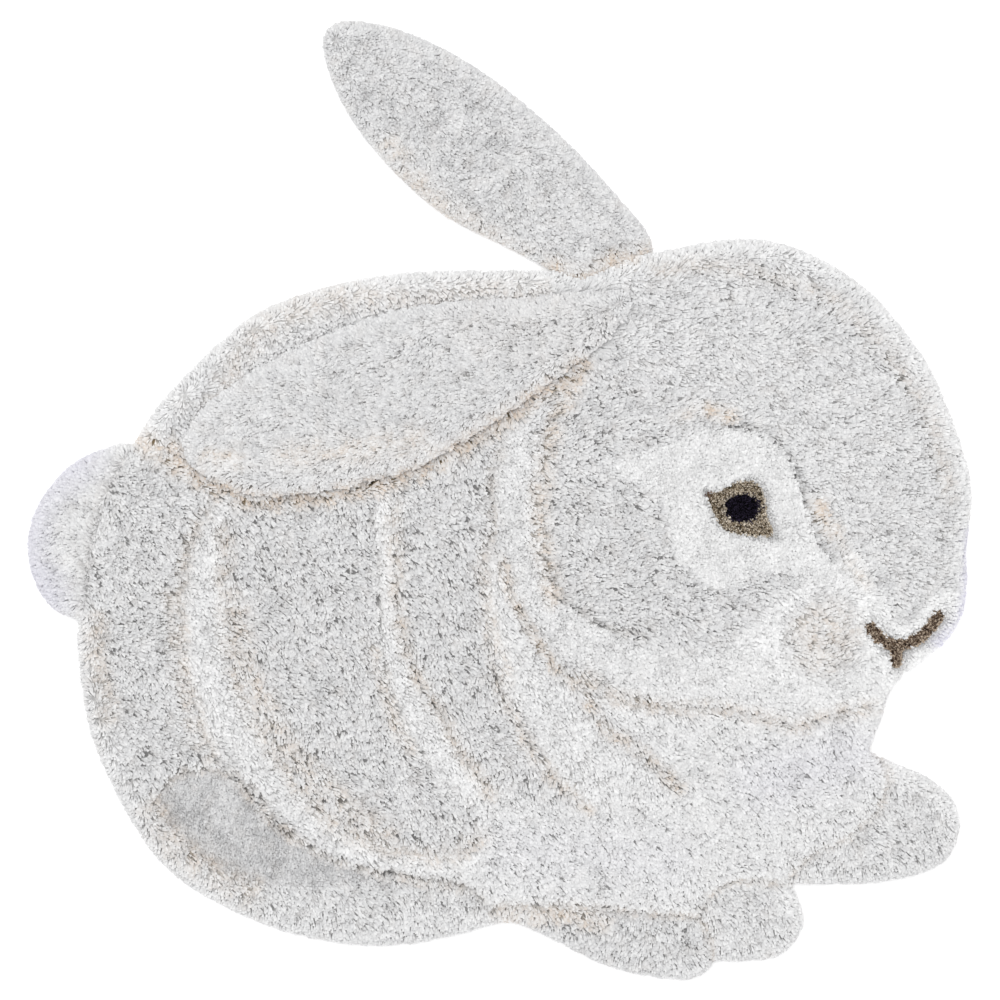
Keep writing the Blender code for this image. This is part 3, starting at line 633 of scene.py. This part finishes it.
def curve_through(anchors, step=6.0, closed=False):
    """A smooth curve through anchors, as points about one step apart, all in millimetres."""
    anchors = np.array(anchors, float)
    if closed:
        padded = np.vstack([anchors[-1:], anchors, anchors[:2]])
    else:
        padded = np.vstack([2 * anchors[0] - anchors[1], anchors, 2 * anchors[-1] - anchors[-2]])
    pieces = []
    for before, start, end, after in zip(padded, padded[1:], padded[2:], padded[3:]):
        count = max(2, round(np.linalg.norm(end - start) / step))
        share = np.linspace(0, 1, count, endpoint=False)[:, None]
        pieces.append(
            start
            + share * (end - before) / 2
            + share**2 * (2 * before - 5 * start + 4 * end - after) / 2
            + share**3 * (3 * start - before - 3 * end + after) / 2
        )
    return np.vstack(pieces if closed else [*pieces, padded[-2:-1]])


def in_parts(spots, work, size=8000):
    """The work done on a few thousand spots at a time, to spare memory."""
    return np.concatenate([work(spots[at:at + size]) for at in range(0, len(spots), size)])


def distance_to(line, spots, far):
    """The shortest distance from each spot to a line of points, or far where it is no nearer than that."""
    start, run = line[:-1], np.diff(line, axis=0)

    def work(some):
        share = ((some[:, None] - start) * run).sum(-1) / np.maximum((run * run).sum(-1), TINY)
        off = some[:, None] - start - np.clip(share, 0, 1)[..., None] * run
        return np.sqrt((off * off).sum(-1).min(axis=1))

    found = np.full(len(spots), float(far))
    low, high = line.min(axis=0) - far, line.max(axis=0) + far
    near = ((spots > low) & (spots < high)).all(axis=1)
    if near.any():
        found[near] = np.minimum(in_parts(spots[near], work), far)
    return found


def is_inside(outline, spots):
    """Whether each spot lies inside a closed outline, by counting crossings to its right."""
    start, end = outline, np.roll(outline, -1, axis=0)
    run_y = np.where(end[:, 1] == start[:, 1], 1.0, end[:, 1] - start[:, 1])

    def work(some):
        x, y = some[:, None, 0], some[:, None, 1]
        crossing = start[:, 0] + (y - start[:, 1]) * (end[:, 0] - start[:, 0]) / run_y
        return (((start[:, 1] > y) != (end[:, 1] > y)) & (crossing > x)).sum(axis=1) % 2 == 1

    return in_parts(spots, work)


def signed_distance(outline, spots, far=20.0):
    """Distance to a closed outline, positive inside it, and no more than far."""
    ring = np.vstack([outline, outline[:1]])
    return np.where(is_inside(outline, spots), 1, -1) * distance_to(ring, spots, far)


def smooth_step(share):
    """A share from 0 to 1 that starts and ends gently."""
    share = np.clip(share, 0, 1)
    return share * share * (3 - 2 * share)


def fading(distance, full_to, gone_at):
    """1 up to the first distance, and from there gently down to 0 at the second one."""
    return smooth_step((gone_at - distance) / (gone_at - full_to))


def unit(vectors):
    """The vectors at length one."""
    return vectors / np.maximum(np.linalg.norm(vectors, axis=1), TINY)[:, None]


def varied(name, spots):
    """The named variation at each spot, as a smooth noise round 0."""
    strength, size, seed = VARIATIONS[name]
    return strength * np.array([noise.noise(Vector((x / size, y / size, seed))) for x, y in spots])


def numbers(items, name, width):
    """One property of all items of a mesh as an array."""
    found = np.empty(len(items) * width, np.float32)
    items.foreach_get(name, found)
    return found.reshape(-1, width).astype(float)


def move_to(mesh, place):
    """Puts a mesh's vertices at their new places."""
    mesh.vertices.foreach_set("co", place.astype(np.float32).ravel())
    mesh.update()


def store(mesh, name, values, kind="FLOAT", domain="POINT"):
    """Stores values on a mesh as an attribute."""
    field = "vector" if kind == "FLOAT_VECTOR" else "value"
    held = mesh.attributes.new(name, kind, domain)
    held.data.foreach_set(field, np.asarray(values, np.int32 if kind == "INT" else np.float32).ravel())


def merged_copy(node):
    """A copy of a CAD node's mesh with its loose triangles joined."""
    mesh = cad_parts[node].data.copy()
    shape = bmesh.new()
    shape.from_mesh(mesh)
    bmesh.ops.remove_doubles(shape, verts=shape.verts, dist=0.01 * MM)
    shape.to_mesh(mesh)
    shape.free()
    mesh.materials.clear()
    return mesh


def new_piece(name, mesh):
    """A mesh as an object of the scene, at the origin."""
    piece = bpy.data.objects.new(name, mesh)
    bpy.context.scene.collection.objects.link(piece)
    return piece


def evaluated_mesh(piece):
    """What a piece's modifiers make of it, as a plain mesh."""
    return bpy.data.meshes.new_from_object(piece.evaluated_get(bpy.context.evaluated_depsgraph_get()))


def foot_of(node):
    """Points 3 mm apart along a node's lower edge, in millimetres."""
    shape = bmesh.new()
    shape.from_mesh(merged_copy(node))
    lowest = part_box(node)[0].z
    points = []
    for edge in shape.edges:
        ends = [vert.co for vert in edge.verts]
        on_floor = all(end.z < lowest + 0.1 * MM for end in ends)
        downward = [face.normal.z < -0.9 for face in edge.link_faces]
        if on_floor and any(downward) and not all(downward):
            count = max(1, round(edge.calc_length() / (3 * MM)))
            points += [ends[0].lerp(ends[1], at / count) for at in range(count)]
    shape.free()
    return np.array([(point.x, point.y) for point in points]) / MM


def nearest_of(points, spots):
    """The nearest of the points to each spot."""
    tree = kdtree.KDTree(len(points))
    for index, (x, y) in enumerate(points):
        tree.insert((x, y, 0), index)
    tree.balance()
    return np.array([tree.find((x, y, 0))[0][:2] for x, y in spots])


def in_pocket(place):
    """Whether each place is in or at one of the body's pockets for the dark patches."""
    inside = np.zeros(len(place), bool)
    for patch in ("eye_ring", "mouth"):
        low, high = (np.array(corner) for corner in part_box(patch))
        margin = POCKET_MARGIN * MM
        near = (place[:, :2] > low[:2] - margin) & (place[:, :2] < high[:2] + margin)
        inside |= near.all(axis=1)
    return inside


def raise_pockets(mesh):
    """Makes the thin floors of the body's pockets thick enough for a coarse even mesh to keep them."""
    place = numbers(mesh.vertices, "co", 3)
    floor = in_pocket(place) & (abs(place[:, 2] - POCKET_FLOOR * MM) < 0.2 * MM)
    place[floor, 2] = RAISED_FLOOR * MM
    move_to(mesh, place)


def lower_pockets(mesh):
    """Puts the raised floors of the pockets back to their height."""
    place = numbers(mesh.vertices, "co", 3)
    upward = numbers(mesh.vertex_normals, "vector", 3)[:, 2] > 0.5
    floor = in_pocket(place) & upward & (place[:, 2] < (RAISED_FLOOR + 1) * MM)
    place[floor, 2] = POCKET_FLOOR * MM
    move_to(mesh, place)


def packed_yarn(node, spacing, pockets_raised=False):
    """The mass of yarn under a node's tips, as a mesh of even faces: the node's shape, less the tips."""
    source = new_piece(node + "_source", merged_copy(node))
    if pockets_raised:
        raise_pockets(source.data)
    even = source.modifiers.new("even", "REMESH")
    even.mode = "VOXEL"
    even.voxel_size = spacing * MM
    soft = source.modifiers.new("soft", "SMOOTH")
    soft.iterations = SOFTENING
    mesh = evaluated_mesh(source)
    bpy.data.objects.remove(source)
    place = numbers(mesh.vertices, "co", 3)
    out = numbers(mesh.vertex_normals, "vector", 3)
    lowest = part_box(node)[0].z
    moved = -out * PILES[node]["tips"] * MM * (RIM_TIPS, RIM_TIPS, 1)
    moved[:, 2] = np.minimum(moved[:, 2], 0)
    if node == "rug_body":
        moved[in_pocket(place), :2] = 0
    place += moved
    place[:, 2] = np.where(place[:, 2] < lowest + 0.5 * spacing * MM, lowest, place[:, 2])
    move_to(mesh, place)
    return mesh


def along_lines(lines, spots):
    """The strongest effect of the lines at each spot. A line has its strength, its width and its points."""
    found = np.zeros(len(spots))
    for strength, width, anchors in lines:
        away = distance_to(curve_through(anchors), spots, width)
        found = np.maximum(found, strength * fading(away, 0, width))
    return found


def beside_ear(spots):
    """How far each spot lies on the upper side of the lower ear's edge, and its distance from that edge."""
    off = nearest_of(foot_of("lower_ear"), spots) - spots
    return smooth_step(0.5 - unit(off)[:, 1]), np.linalg.norm(off, axis=1)


def dyed_colours(node, spots, edge_distance):
    """For a dyed patch: the plum of the eye's rear corner, and painted shade along the ring's outline."""
    on_ring = node == "eye_ring"
    corner_distance = np.linalg.norm(spots - PLUM_SPOT, axis=1)
    return {
        "cool": on_ring * fading(corner_distance, *PLUM_CORNER),
        "open": on_ring * fading(edge_distance, *SHADED_RING_OUTLINE),
        "speck": np.full(len(spots), DYED_SPECKS[node]),
    }


def area_looks(node, spots):
    """How white the yarn is at each spot and how much its gaps show, as the tufted areas have them."""
    on_body = node == "rug_body"
    names = [name for name in YARN_AREAS if name != "ear_shade"] if on_body else FLAP_AREAS[node]
    ragged = varied("area_edge", spots)
    white = np.zeros(len(spots))
    speck = np.full(len(spots), BODY_SPECKS if on_body else EAR_SPECKS)
    for whiteness, specks, anchors in (YARN_AREAS[name] for name in names):
        depth = signed_distance(curve_through(anchors, closed=True), spots) + ragged
        inside = smooth_step(depth / AREA_EDGE + 0.5)
        white += (whiteness - white) * inside
        speck += (specks - speck) * inside
    return white, speck


def yarn_colours(node, spots, edge):
    """How white, warm and cool the yarn is at each spot, with painted light on the rim's side towards the
    lamp, how much its gaps show with painted dark shade, and how open the pile is, which also darkens it with
    painted shade.
    """
    edge_distance = np.linalg.norm(edge, axis=1)
    if node not in CLOTHS:
        return dyed_colours(node, spots, edge_distance)
    white, speck = area_looks(node, spots)
    # Painted light: the rim on its side towards the lamp is whiter and shows fewer dark specks
    lit_rim = smooth_step(RIM_LIGHT + RIM_LIGHT * unit(edge)[:, 1])
    if node == "rug_body":
        white = np.maximum(white, RIM_PAINTED_LIGHT * lit_rim * fading(edge_distance, *LIT_RIM_BAND))
        above, ear_distance = beside_ear(spots)
        # Painted light: fewer dark specks at the foot of the lower ear's upper edge, where the ear shades the
        # body
        speck *= 1 - RIM_EVENED * above * fading(ear_distance, *LIGHT_AT_FLAP_FOOT)
    speck *= 1 - RIM_EVENED * lit_rim * fading(edge_distance, *LIT_RIM_SPECKLESS)

    own = [row for name, row in SEAMS.items() if (name == "ear_root") == (node == "upper_ear")]
    lined = along_lines(WARM_LINES[node], spots)
    seamed = along_lines([(warmth, width, points) for warmth, width, _, points in own], spots)
    grooved = along_lines([(opening, GROOVE, points) for _, _, opening, points in own], spots)
    speck = np.minimum(speck * (1 - WARM_EVENED * lined.clip(0, 1)), MOST_SPECKS)
    white += np.where(white > GREYEST, WARM_WHITENESS[node] * lined, 0)
    warm = np.maximum(lined, seamed) * (WARMTH + varied("warmth", spots)).clip(*WARMTH_RANGE)
    warm = np.maximum(warm, varied("mottle", spots).clip(0) * (1 - white.clip(0, 1)))
    opening = grooved * (GROOVE_OPEN + varied("seam", spots)) * (node != "lower_ear")
    # Painted shade on the outermost row of yarn
    opening = np.maximum(opening, RIM_SHADE * fading(edge_distance, *SHADED_RIM))
    return {
        "white": white, "speck": speck, "warm": warm.clip(0, MOST_WARMTH),
        "cool": along_lines(COOL_LINES, spots), "open": opening.clip(0, 1),
    }


def colour_in(node, mesh):
    """Stores the yarn's colours on a mesh."""
    spots = numbers(mesh.vertices, "co", 3)[:, :2] / MM
    edge = nearest_of(foot_of(node), spots) - spots
    for name, values in yarn_colours(node, spots, edge).items():
        store(mesh, name, values)


def body_areas(spots):
    """The number of the body area that each spot belongs to."""
    found = np.full(len(spots), len(BODY_AREAS) - 1)
    for number, (*_, anchors) in reversed(list(enumerate(BODY_AREAS.values()))):
        if anchors is not None:
            found[is_inside(np.array(anchors, float), spots)] = number
    return found


def laid(node, spots):
    """The angle at which the yarn lies, how much it lies, how densely it grows, and how much it clumps."""
    if node != "rug_body":
        return np.tile(np.array(LAID[node], float)[:, None], len(spots))
    rows = np.array([row[:4] for row in BODY_AREAS.values()])
    return rows[body_areas(spots)].T


def under_flap(spots):
    """Whether each spot is covered by the lower ear, well inside its edge."""
    foot = foot_of("lower_ear")
    order = np.argsort(np.arctan2(*(foot - foot.mean(axis=0)).T[::-1]))
    return signed_distance(foot[order], spots) > UNDER_FLAP


def beside_pieces(spots, lean):
    """How the body's yarn leans beside the lower ear and the dark patches, and how much longer it is."""
    above, ear_distance = beside_ear(spots)
    at_flap = above + (1 - above) * (0.1 + varied("at_flap", spots)).clip(0, 1)
    at_flap *= fading(ear_distance, 0, BESIDE_FLAP)
    off = spots - nearest_of(np.vstack([foot_of("eye_ring"), foot_of("mouth")]), spots)
    near = fading(np.linalg.norm(off, axis=1), 0, BESIDE_PATCH)[:, None]
    by_mouth = (spots[:, 0] > MOUTH_SIDE[0]) & (spots[:, 1] < MOUTH_SIDE[1])
    uneven = varied("at_mouth", spots).clip(-MOUTH_UNEVEN, MOUTH_UNEVEN)
    aside = np.where(by_mouth, BY_MOUTH + uneven, BY_EYE)
    upright = np.hstack([aside[:, None] * unit(off), np.ones((len(off), 1))])
    return lean * (1 - near) + upright * near, FLAP_LONGER * at_flap + PATCH_LONGER * near[:, 0]


def uneven_edge(node, spots):
    """How much longer the tips at the edge of a dark patch or of the lower ear are, as a share."""
    if node in CLOTHS:
        return varied("flap_rim", spots) * (node == "lower_ear")
    longer, uneven = PATCH_EDGE[node]
    if node == "eye_ring":
        pupil_distance = np.linalg.norm(nearest_of(foot_of("eye_pupil"), spots) - spots, axis=1)
        longer, uneven = np.where(pupil_distance[:, None] < BY_PUPIL, RING_INSIDE, (longer, uneven)).T
    return (longer + uneven * varied("patch_edge", spots)).clip(*EDGE_RANGE)


def plant(node, mesh):
    """Stores on the mass of yarn where its tips grow, how they lean and how far they reach."""
    place = numbers(mesh.vertices, "co", 3)
    out = numbers(mesh.vertex_normals, "vector", 3)
    spots = place[:, :2] / MM
    edge = nearest_of(foot_of(node), spots) - spots
    edge_distance = np.linalg.norm(edge, axis=1)
    outward = unit(edge + 2 * out[:, :2])  # right at the edge, as the face looks
    at_rim = fading(edge_distance, 0, RIM_COMB if node in CLOTHS else PATCH_COMB)
    opening = numbers(mesh.attributes["open"].data, "value", 1)[:, 0]
    if node in CLOTHS:
        opening *= 1 - fading(edge_distance, *CLOSED_RIM)

    degrees, amount, density, clumped = laid(node, spots)
    angle = np.radians(degrees) + varied("turn", spots) + varied("small_turn", spots)
    turn = np.arctan2(outward[:, 1], outward[:, 0]) - angle
    angle += at_rim * ((turn + math.pi) % (2 * math.pi) - math.pi)
    amount = amount * (1 + varied("lying", spots)) * (1 - at_rim) + at_rim * RIM_LEAN.get(node, 1.0)
    amount *= LAID_FLAT * (1 - SEAM_UPRIGHT * opening)
    lean = out.copy()
    lean[:, :2] += np.stack([np.cos(angle), np.sin(angle)], axis=1) * amount[:, None]

    grows = (out[:, 2] > LOWEST_SLOPE) & (place[:, 2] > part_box(node)[0].z + BARE_FOOT * MM)
    density = density * grows * (1 + RIM_TUFTS * at_rim)
    longer = 0
    if node == "rug_body":
        seams = np.vstack([curve_through(points, 3.0) for *_, points in SEAMS.values()])
        lean[:, :2] += PARTING * unit(spots - nearest_of(seams, spots)) * opening[:, None]
        lean, longer = beside_pieces(spots, lean)
        density *= 1 - SEAM_THINNED * opening
        density[under_flap(spots)] = 0
        density[in_pocket(place) & (place[:, 2] < PILE_TOP - POCKET_DEPTH * MM)] = 0

    upward = out[:, 2].clip(0, 1)
    slanted = np.sqrt(1 + (lean[:, :2] ** 2).sum(axis=1) / np.maximum(lean[:, 2], 0.5) ** 2)
    reach = PILES[node]["tips"] * (1 + (np.minimum(slanted, MOST_SLANTED) - 1) * upward)
    reach *= (RIM_TIPS + (1 - RIM_TIPS) * upward) * (1 + longer)
    sideways = np.linalg.norm(lean[:, :2], axis=1) / np.linalg.norm(lean, axis=1)
    over_back = (node == "lower_ear") * smooth_step(outward[:, 1] * 2 + outward[:, 0])
    room = edge_distance + RIM_FRINGE + BACK_FRINGE * over_back
    reach = np.minimum(reach + SUNK_ROOT, room / sideways.clip(LEAST_SLANT))
    reach *= 1 + at_rim * uneven_edge(node, spots)
    store(mesh, "lean", lean, "FLOAT_VECTOR")
    store(mesh, "reach", reach * MM)
    store(mesh, "tufts", density)
    store(mesh, "clumped", CLUMPING * clumped * (1 - RIM_CLUMPING * at_rim))


def yarn_tip():
    """One tip of yarn, one high and one wide, wider towards its cut end: a closed body of four faces."""
    root = [(-0.5, 0, 0), (0.5, 0, 0)]
    end = [(TIP_SHIFT, -0.5, 1), (TIP_SHIFT, 0.5, 1)]
    mesh = bpy.data.meshes.new("yarn_tip")
    mesh.from_pydata(root + end, [], TIP_FACES)
    spots = []
    for left in (0.0, 0.25, 0.5, 0.75):
        spots += [(left + 0.02, 0.02), (left + 0.23, 0.02), (left + 0.12, 0.98)]
    layout = mesh.uv_layers.new(name=STRAND_MAP)
    layout.uv.foreach_set("vector", [number for spot in spots for number in spot])
    store(mesh, "along", (0.0, 0.0, 1.0, 1.0))
    return new_piece("yarn_tip", mesh)


def lay_out(mesh):
    """Gives each tip's faces their own cell of the strand map."""
    layout = mesh.uv_layers[STRAND_MAP]
    spots = numbers(layout.uv, "vector", 2)
    tip = np.arange(len(spots)) // TIP_CORNERS
    across = math.ceil(math.sqrt(tip[-1] + 1))
    cells = np.stack([tip % across, tip // across], axis=1)
    layout.uv.foreach_set("vector", ((spots * 0.9 + 0.05 + cells) / across).astype(np.float32).ravel())


def pile_tree():
    """Geometry Nodes that plant tips of yarn on one area of a mesh, leaning as its attributes say."""
    tree = bpy.data.node_groups.new("cut_pile", "GeometryNodeTree")
    for name, kind in PILE_INPUTS.items():
        tree.interface.new_socket(name, in_out="INPUT", socket_type="NodeSocket" + kind)
    tree.interface.new_socket("Geometry", in_out="OUTPUT", socket_type="NodeSocketGeometry")
    given = add(tree, "NodeGroupInput").outputs
    held = {}
    for name, kind in HELD.items():
        held[name] = add(tree, "GeometryNodeInputNamedAttribute", {"Name": name}, data_type=kind).outputs[0]
    drawn = {}
    for name, (least, most, shift) in DRAWN.items():
        seed = add(tree, "ShaderNodeMath", {0: given["Seed"], 1: float(shift)}, operation="ADD").outputs[0]
        if isinstance(least, tuple):
            inputs = {0: least, 1: most, "Seed": seed}
            drawn[name] = add(tree, "FunctionNodeRandomValue", inputs, data_type="FLOAT_VECTOR").outputs[0]
        else:
            inputs = {2: least, 3: most, "Seed": seed}
            drawn[name] = add(tree, "FunctionNodeRandomValue", inputs, data_type="FLOAT").outputs[1]

    # Where tips grow: on this area, and fewer in the gaps
    here = add(tree, "FunctionNodeCompare", {2: held["area"], 3: given["Area"]}, data_type="INT",
               operation="EQUAL").outputs[0]
    place = add(tree, "GeometryNodeInputPosition").outputs[0]
    inputs = {0: gaps_at(tree, place), 1: SPECK_RANGE[0], 2: SPECK_RANGE[1], 3: 1.0, 4: 0.0}
    bare = add(tree, "ShaderNodeMapRange", inputs).outputs[0]
    bare = add(tree, "ShaderNodeMath", {0: held["speck"], 1: bare}, operation="MULTIPLY").outputs[0]
    grown = add(tree, "ShaderNodeMapRange", {0: bare, 1: 0.0, 2: 1.0, 3: 1.0, 4: 0.0}).outputs[0]
    grown = add(tree, "ShaderNodeMath", {0: held["tufts"], 1: grown}, operation="MULTIPLY").outputs[0]
    spread = add(tree, "GeometryNodeDistributePointsOnFaces", {
        "Mesh": given["Geometry"], "Selection": here, "Distance Min": given["Nearest"],
        "Density Max": given["Most Tufts"], "Density Factor": grown, "Seed": given["Seed"],
    }, distribute_method="POISSON")

    # Which way they point: as the yarn leans there, a little astray, and together in clumps
    inputs = {0: drawn["astray"], "Scale": given["Stray"]}
    astray = add(tree, "ShaderNodeVectorMath", inputs, operation="SCALE").outputs[0]
    way = add(tree, "ShaderNodeVectorMath", {0: held["lean"], 1: astray}, operation="ADD").outputs[0]
    inputs = {"Vector": place, "Scale": 1 / (CLUMP * MM), "Detail": 1.0}
    together = add(tree, "ShaderNodeTexNoise", inputs).outputs["Color"]
    inputs = {0: together, 1: (0.5, 0.5, 0.5)}
    together = add(tree, "ShaderNodeVectorMath", inputs, operation="SUBTRACT").outputs[0]
    inputs = {0: together, "Scale": held["clumped"]}
    together = add(tree, "ShaderNodeVectorMath", inputs, operation="SCALE").outputs[0]
    way = add(tree, "ShaderNodeVectorMath", {0: way, 1: together}, operation="ADD").outputs[0]
    turned = add(tree, "FunctionNodeAlignRotationToVector", {"Vector": way}, axis="Z").outputs[0]
    turned = add(tree, "FunctionNodeAlignRotationToVector", {"Rotation": turned, "Vector": (0, 0, 1)},
                 axis="X", pivot_axis="Z").outputs[0]
    inputs = {"Axis": (0, 0, 1), "Angle": drawn["spin"]}
    spin = add(tree, "FunctionNodeAxisAngleToRotation", inputs).outputs[0]
    inputs = {"Rotation": turned, "Rotate By": spin}
    turned = add(tree, "FunctionNodeRotateRotation", inputs, rotation_space="LOCAL").outputs[0]

    # How big they are
    inputs = {0: given["Yarn"], 1: drawn["width"]}
    wide = add(tree, "ShaderNodeMath", inputs, operation="MULTIPLY").outputs[0]
    thick = add(tree, "ShaderNodeMath", {0: wide, 1: YARN_FLATNESS}, operation="MULTIPLY").outputs[0]
    inputs = {0: held["reach"], 1: drawn["length"]}
    long = add(tree, "ShaderNodeMath", inputs, operation="MULTIPLY").outputs[0]
    size = add(tree, "ShaderNodeCombineXYZ", {0: thick, 1: wide, 2: long}).outputs[0]

    inputs = {"Object": given["Tip"], "As Instance": True}
    shape = add(tree, "GeometryNodeObjectInfo", inputs).outputs["Geometry"]
    tips = add(tree, "GeometryNodeInstanceOnPoints", {
        "Points": spread.outputs["Points"], "Instance": shape, "Rotation": turned, "Scale": size,
    }).outputs[0]
    toned = add(tree, "GeometryNodeStoreNamedAttribute", {
        "Geometry": tips, "Name": "tone", "Value": drawn["tone"],
    }, data_type="FLOAT", domain="INSTANCE").outputs[0]
    real = add(tree, "GeometryNodeRealizeInstances", {0: toned}).outputs[0]
    worn = add(tree, "GeometryNodeSetMaterial", {0: real, "Material": given["Finish"]}).outputs[0]
    add(tree, "NodeGroupOutput", {"Geometry": worn})
    return tree


def tips_on(planted, name, tree, finish, area=0, seed=0):
    """The tips of yarn on one area of a planted mesh, as a piece of its own."""
    node = planted["node"]
    on_cloth = node in CLOTHS
    bearer = new_piece(name, planted["mesh"])
    grown = bearer.modifiers.new("pile", "NODES")
    grown.node_group = tree
    values = {
        "Tip": bpy.data.objects["yarn_tip"], "Area": area, "Nearest": PILES[node]["nearest"] * MM,
        "Most Tufts": CLOTH_TUFTS if on_cloth else PATCH_TUFTS, "Yarn": PILES[node]["yarn"] * MM,
        "Stray": CLOTH_STRAY if on_cloth else PATCH_STRAY, "Seed": seed, "Finish": finish,
    }
    for socket in tree.interface.items_tree:
        if socket.in_out == "INPUT" and socket.name in values:
            grown[socket.identifier] = values[socket.name]
    mesh = evaluated_mesh(bearer)
    bearer.modifiers.remove(grown)
    bearer.data = mesh
    for spent in SPENT:
        if spent in mesh.attributes:
            mesh.attributes.remove(mesh.attributes[spent])
    place = numbers(mesh.vertices, "co", 3)
    place[:, 2] = np.maximum(place[:, 2], LOWEST_TIP * MM)
    move_to(mesh, place)
    lay_out(mesh)
    return bearer


def tufted_cloth(node):
    """A mesh to plant tips on, with all that they need stored on it."""
    mesh = packed_yarn(node, PILES[node]["mesh"])
    colour_in(node, mesh)
    plant(node, mesh)
    middles = numbers(mesh.polygons, "center", 3)[:, :2] / MM
    area = body_areas(middles) if node == "rug_body" else np.zeros(len(middles))
    store(mesh, "area", area, "INT", "FACE")
    return {"node": node, "mesh": mesh}


def shown_mass(node, name, depth, underside=None):
    """The mass of yarn as a piece, with canvas on its underside where a finish for it is given."""
    on_body = node == "rug_body"
    mesh = packed_yarn(node, PILES[node]["mesh"] * SHOWN_MESH, on_body)
    if on_body:
        lower_pockets(mesh)
    colour_in(node, mesh)
    mesh.materials.append(depth)
    if underside:
        mesh.materials.append(underside)
        downward = numbers(mesh.polygons, "normal", 3)[:, 2] < -0.7
        mesh.polygons.foreach_set("material_index", downward.astype(np.int32))
    mesh.shade_smooth()
    return new_piece(name, mesh)


def finished(piece):
    """A piece with its body."""
    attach(piece, "root")
    return piece


def declare_sheet(node):
    """Works out the area of a cloth's underside, its outline as it lies, and keeps nothing of it."""
    shape = bmesh.new()
    shape.from_mesh(merged_copy(node))
    area = sum(face.calc_area() for face in shape.faces if face.normal.z < -0.99)
    shape.free()


def make_patches(tree):
    """The eye and the mouth, each a mass of dark yarn with its tips."""
    looks = {
        "eye_ring": ("taupe_cotton", TAUPE_YARN, TAUPE_DEPTH, "cotton_brown"),
        "eye_pupil": ("black_cotton", BLACK_YARN, BLACK_DEPTH, "cotton_black"),
        "mouth": ("brown_cotton", MOUTH_YARN, MOUTH_DEPTH, "cotton_brown"),
    }
    made = []
    for seed, (node, (name, colours, code, slot)) in enumerate(looks.items(), 300):
        mass = shown_mass(node, node + "_mass", dyed_depth(name + "_depth", code))
        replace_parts(finished(mass), node)
        planted = tufted_cloth(node)
        strands = tips_on(planted, node + "_pile", tree, dyed_tips(name + "_tips", colours), seed=seed)
        made += [mass, finished(strands)]
    return made


def make_cloths():
    """The body with its pile and dark patches, and the two ears with theirs."""
    tree, tip = pile_tree(), yarn_tip()
    tips, depth, canvas = cotton_tips(), cotton_depth(), canvas_back()

    body = shown_mass("rug_body", "body_cloth", depth, canvas)
    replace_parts(finished(body), "rug_body")
    planted = tufted_cloth("rug_body")
    for number, name in enumerate(BODY_AREAS):
        finished(tips_on(planted, name + "_pile", tree, tips, number, 10 * number))
    patches = make_patches(tree)
    declare_sheet("rug_body")

    for seed, ear in ((200, "upper_ear"), (210, "lower_ear")):
        cloth = shown_mass(ear, ear + "_cloth", depth, canvas)
        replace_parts(finished(cloth), ear)
        planted = tufted_cloth(ear)
        strands = finished(tips_on(planted, ear + "_pile", tree, tips, seed=seed))
        declare_sheet(ear)
    bpy.data.objects.remove(tip)


def make_floor():
    """A plain matt white floor with the faintest change of shade, lit a little from within to stay white."""
    glow = {"Emission_Color": (1, 1, 1, 1), "Emission_Strength": 0.12}
    material, tree, shader = blank_material("matt_floor", 0.9, **glow)
    colour = layered(tree, linear(FLOOR), noise_at(tree, FLOOR_SHADES), NOISE_RANGE, (0.985, 1.0))
    tree.links.new(colour, shader.inputs["Base Color"])
    shape = bmesh.new()
    bmesh.ops.create_grid(shape, x_segments=1, y_segments=1, size=FLOOR_REACH)
    bmesh.ops.translate(shape, verts=shape.verts, vec=(0, 0, -FLOOR_DROP * MM))
    mesh = bpy.data.meshes.new("floor")
    shape.to_mesh(mesh)
    shape.free()
    mesh.materials.append(material)
    new_piece("floor", mesh)


def make_light():
    """A white room, and one large soft light overhead, a little beyond the rabbit's ears."""
    world = bpy.data.worlds.new("bright_room")
    world.use_nodes = True
    sky = world.node_tree.nodes["Background"].inputs
    sky["Color"].default_value = (1.0, 1.0, 1.0, 1.0)
    sky["Strength"].default_value = ROOM_LIGHT
    bpy.context.scene.world = world
    light = bpy.data.lights.new("window", "AREA")
    light.size = LAMP_SIZE
    light.energy = LAMP_POWER
    lamp = bpy.data.objects.new("window", light)
    lamp.location = LAMP_PLACE
    lamp.rotation_mode = "QUATERNION"
    lamp.rotation_quaternion = (-lamp.location).to_track_quat("-Z", "Y")
    bpy.context.scene.collection.objects.link(lamp)


def make_camera():
    """Straight above the rug, as the photograph was taken."""
    camera = bpy.data.cameras.new("camera")
    camera.lens = LENS
    camera.sensor_width = SENSOR
    viewer = bpy.data.objects.new("camera", camera)
    pile_height = 0.8 * PILE_TOP
    viewer.location = (0, 0, PHOTO_WIDTH * LENS / SENSOR + pile_height)
    bpy.context.scene.collection.objects.link(viewer)
    bpy.context.scene.camera = viewer


make_camera()
make_light()
make_floor()
make_cloths()
bpy.context.scene.view_settings.view_transform = "Standard"
bpy.context.scene.cycles.diffuse_bounces = LIGHT_BOUNCES
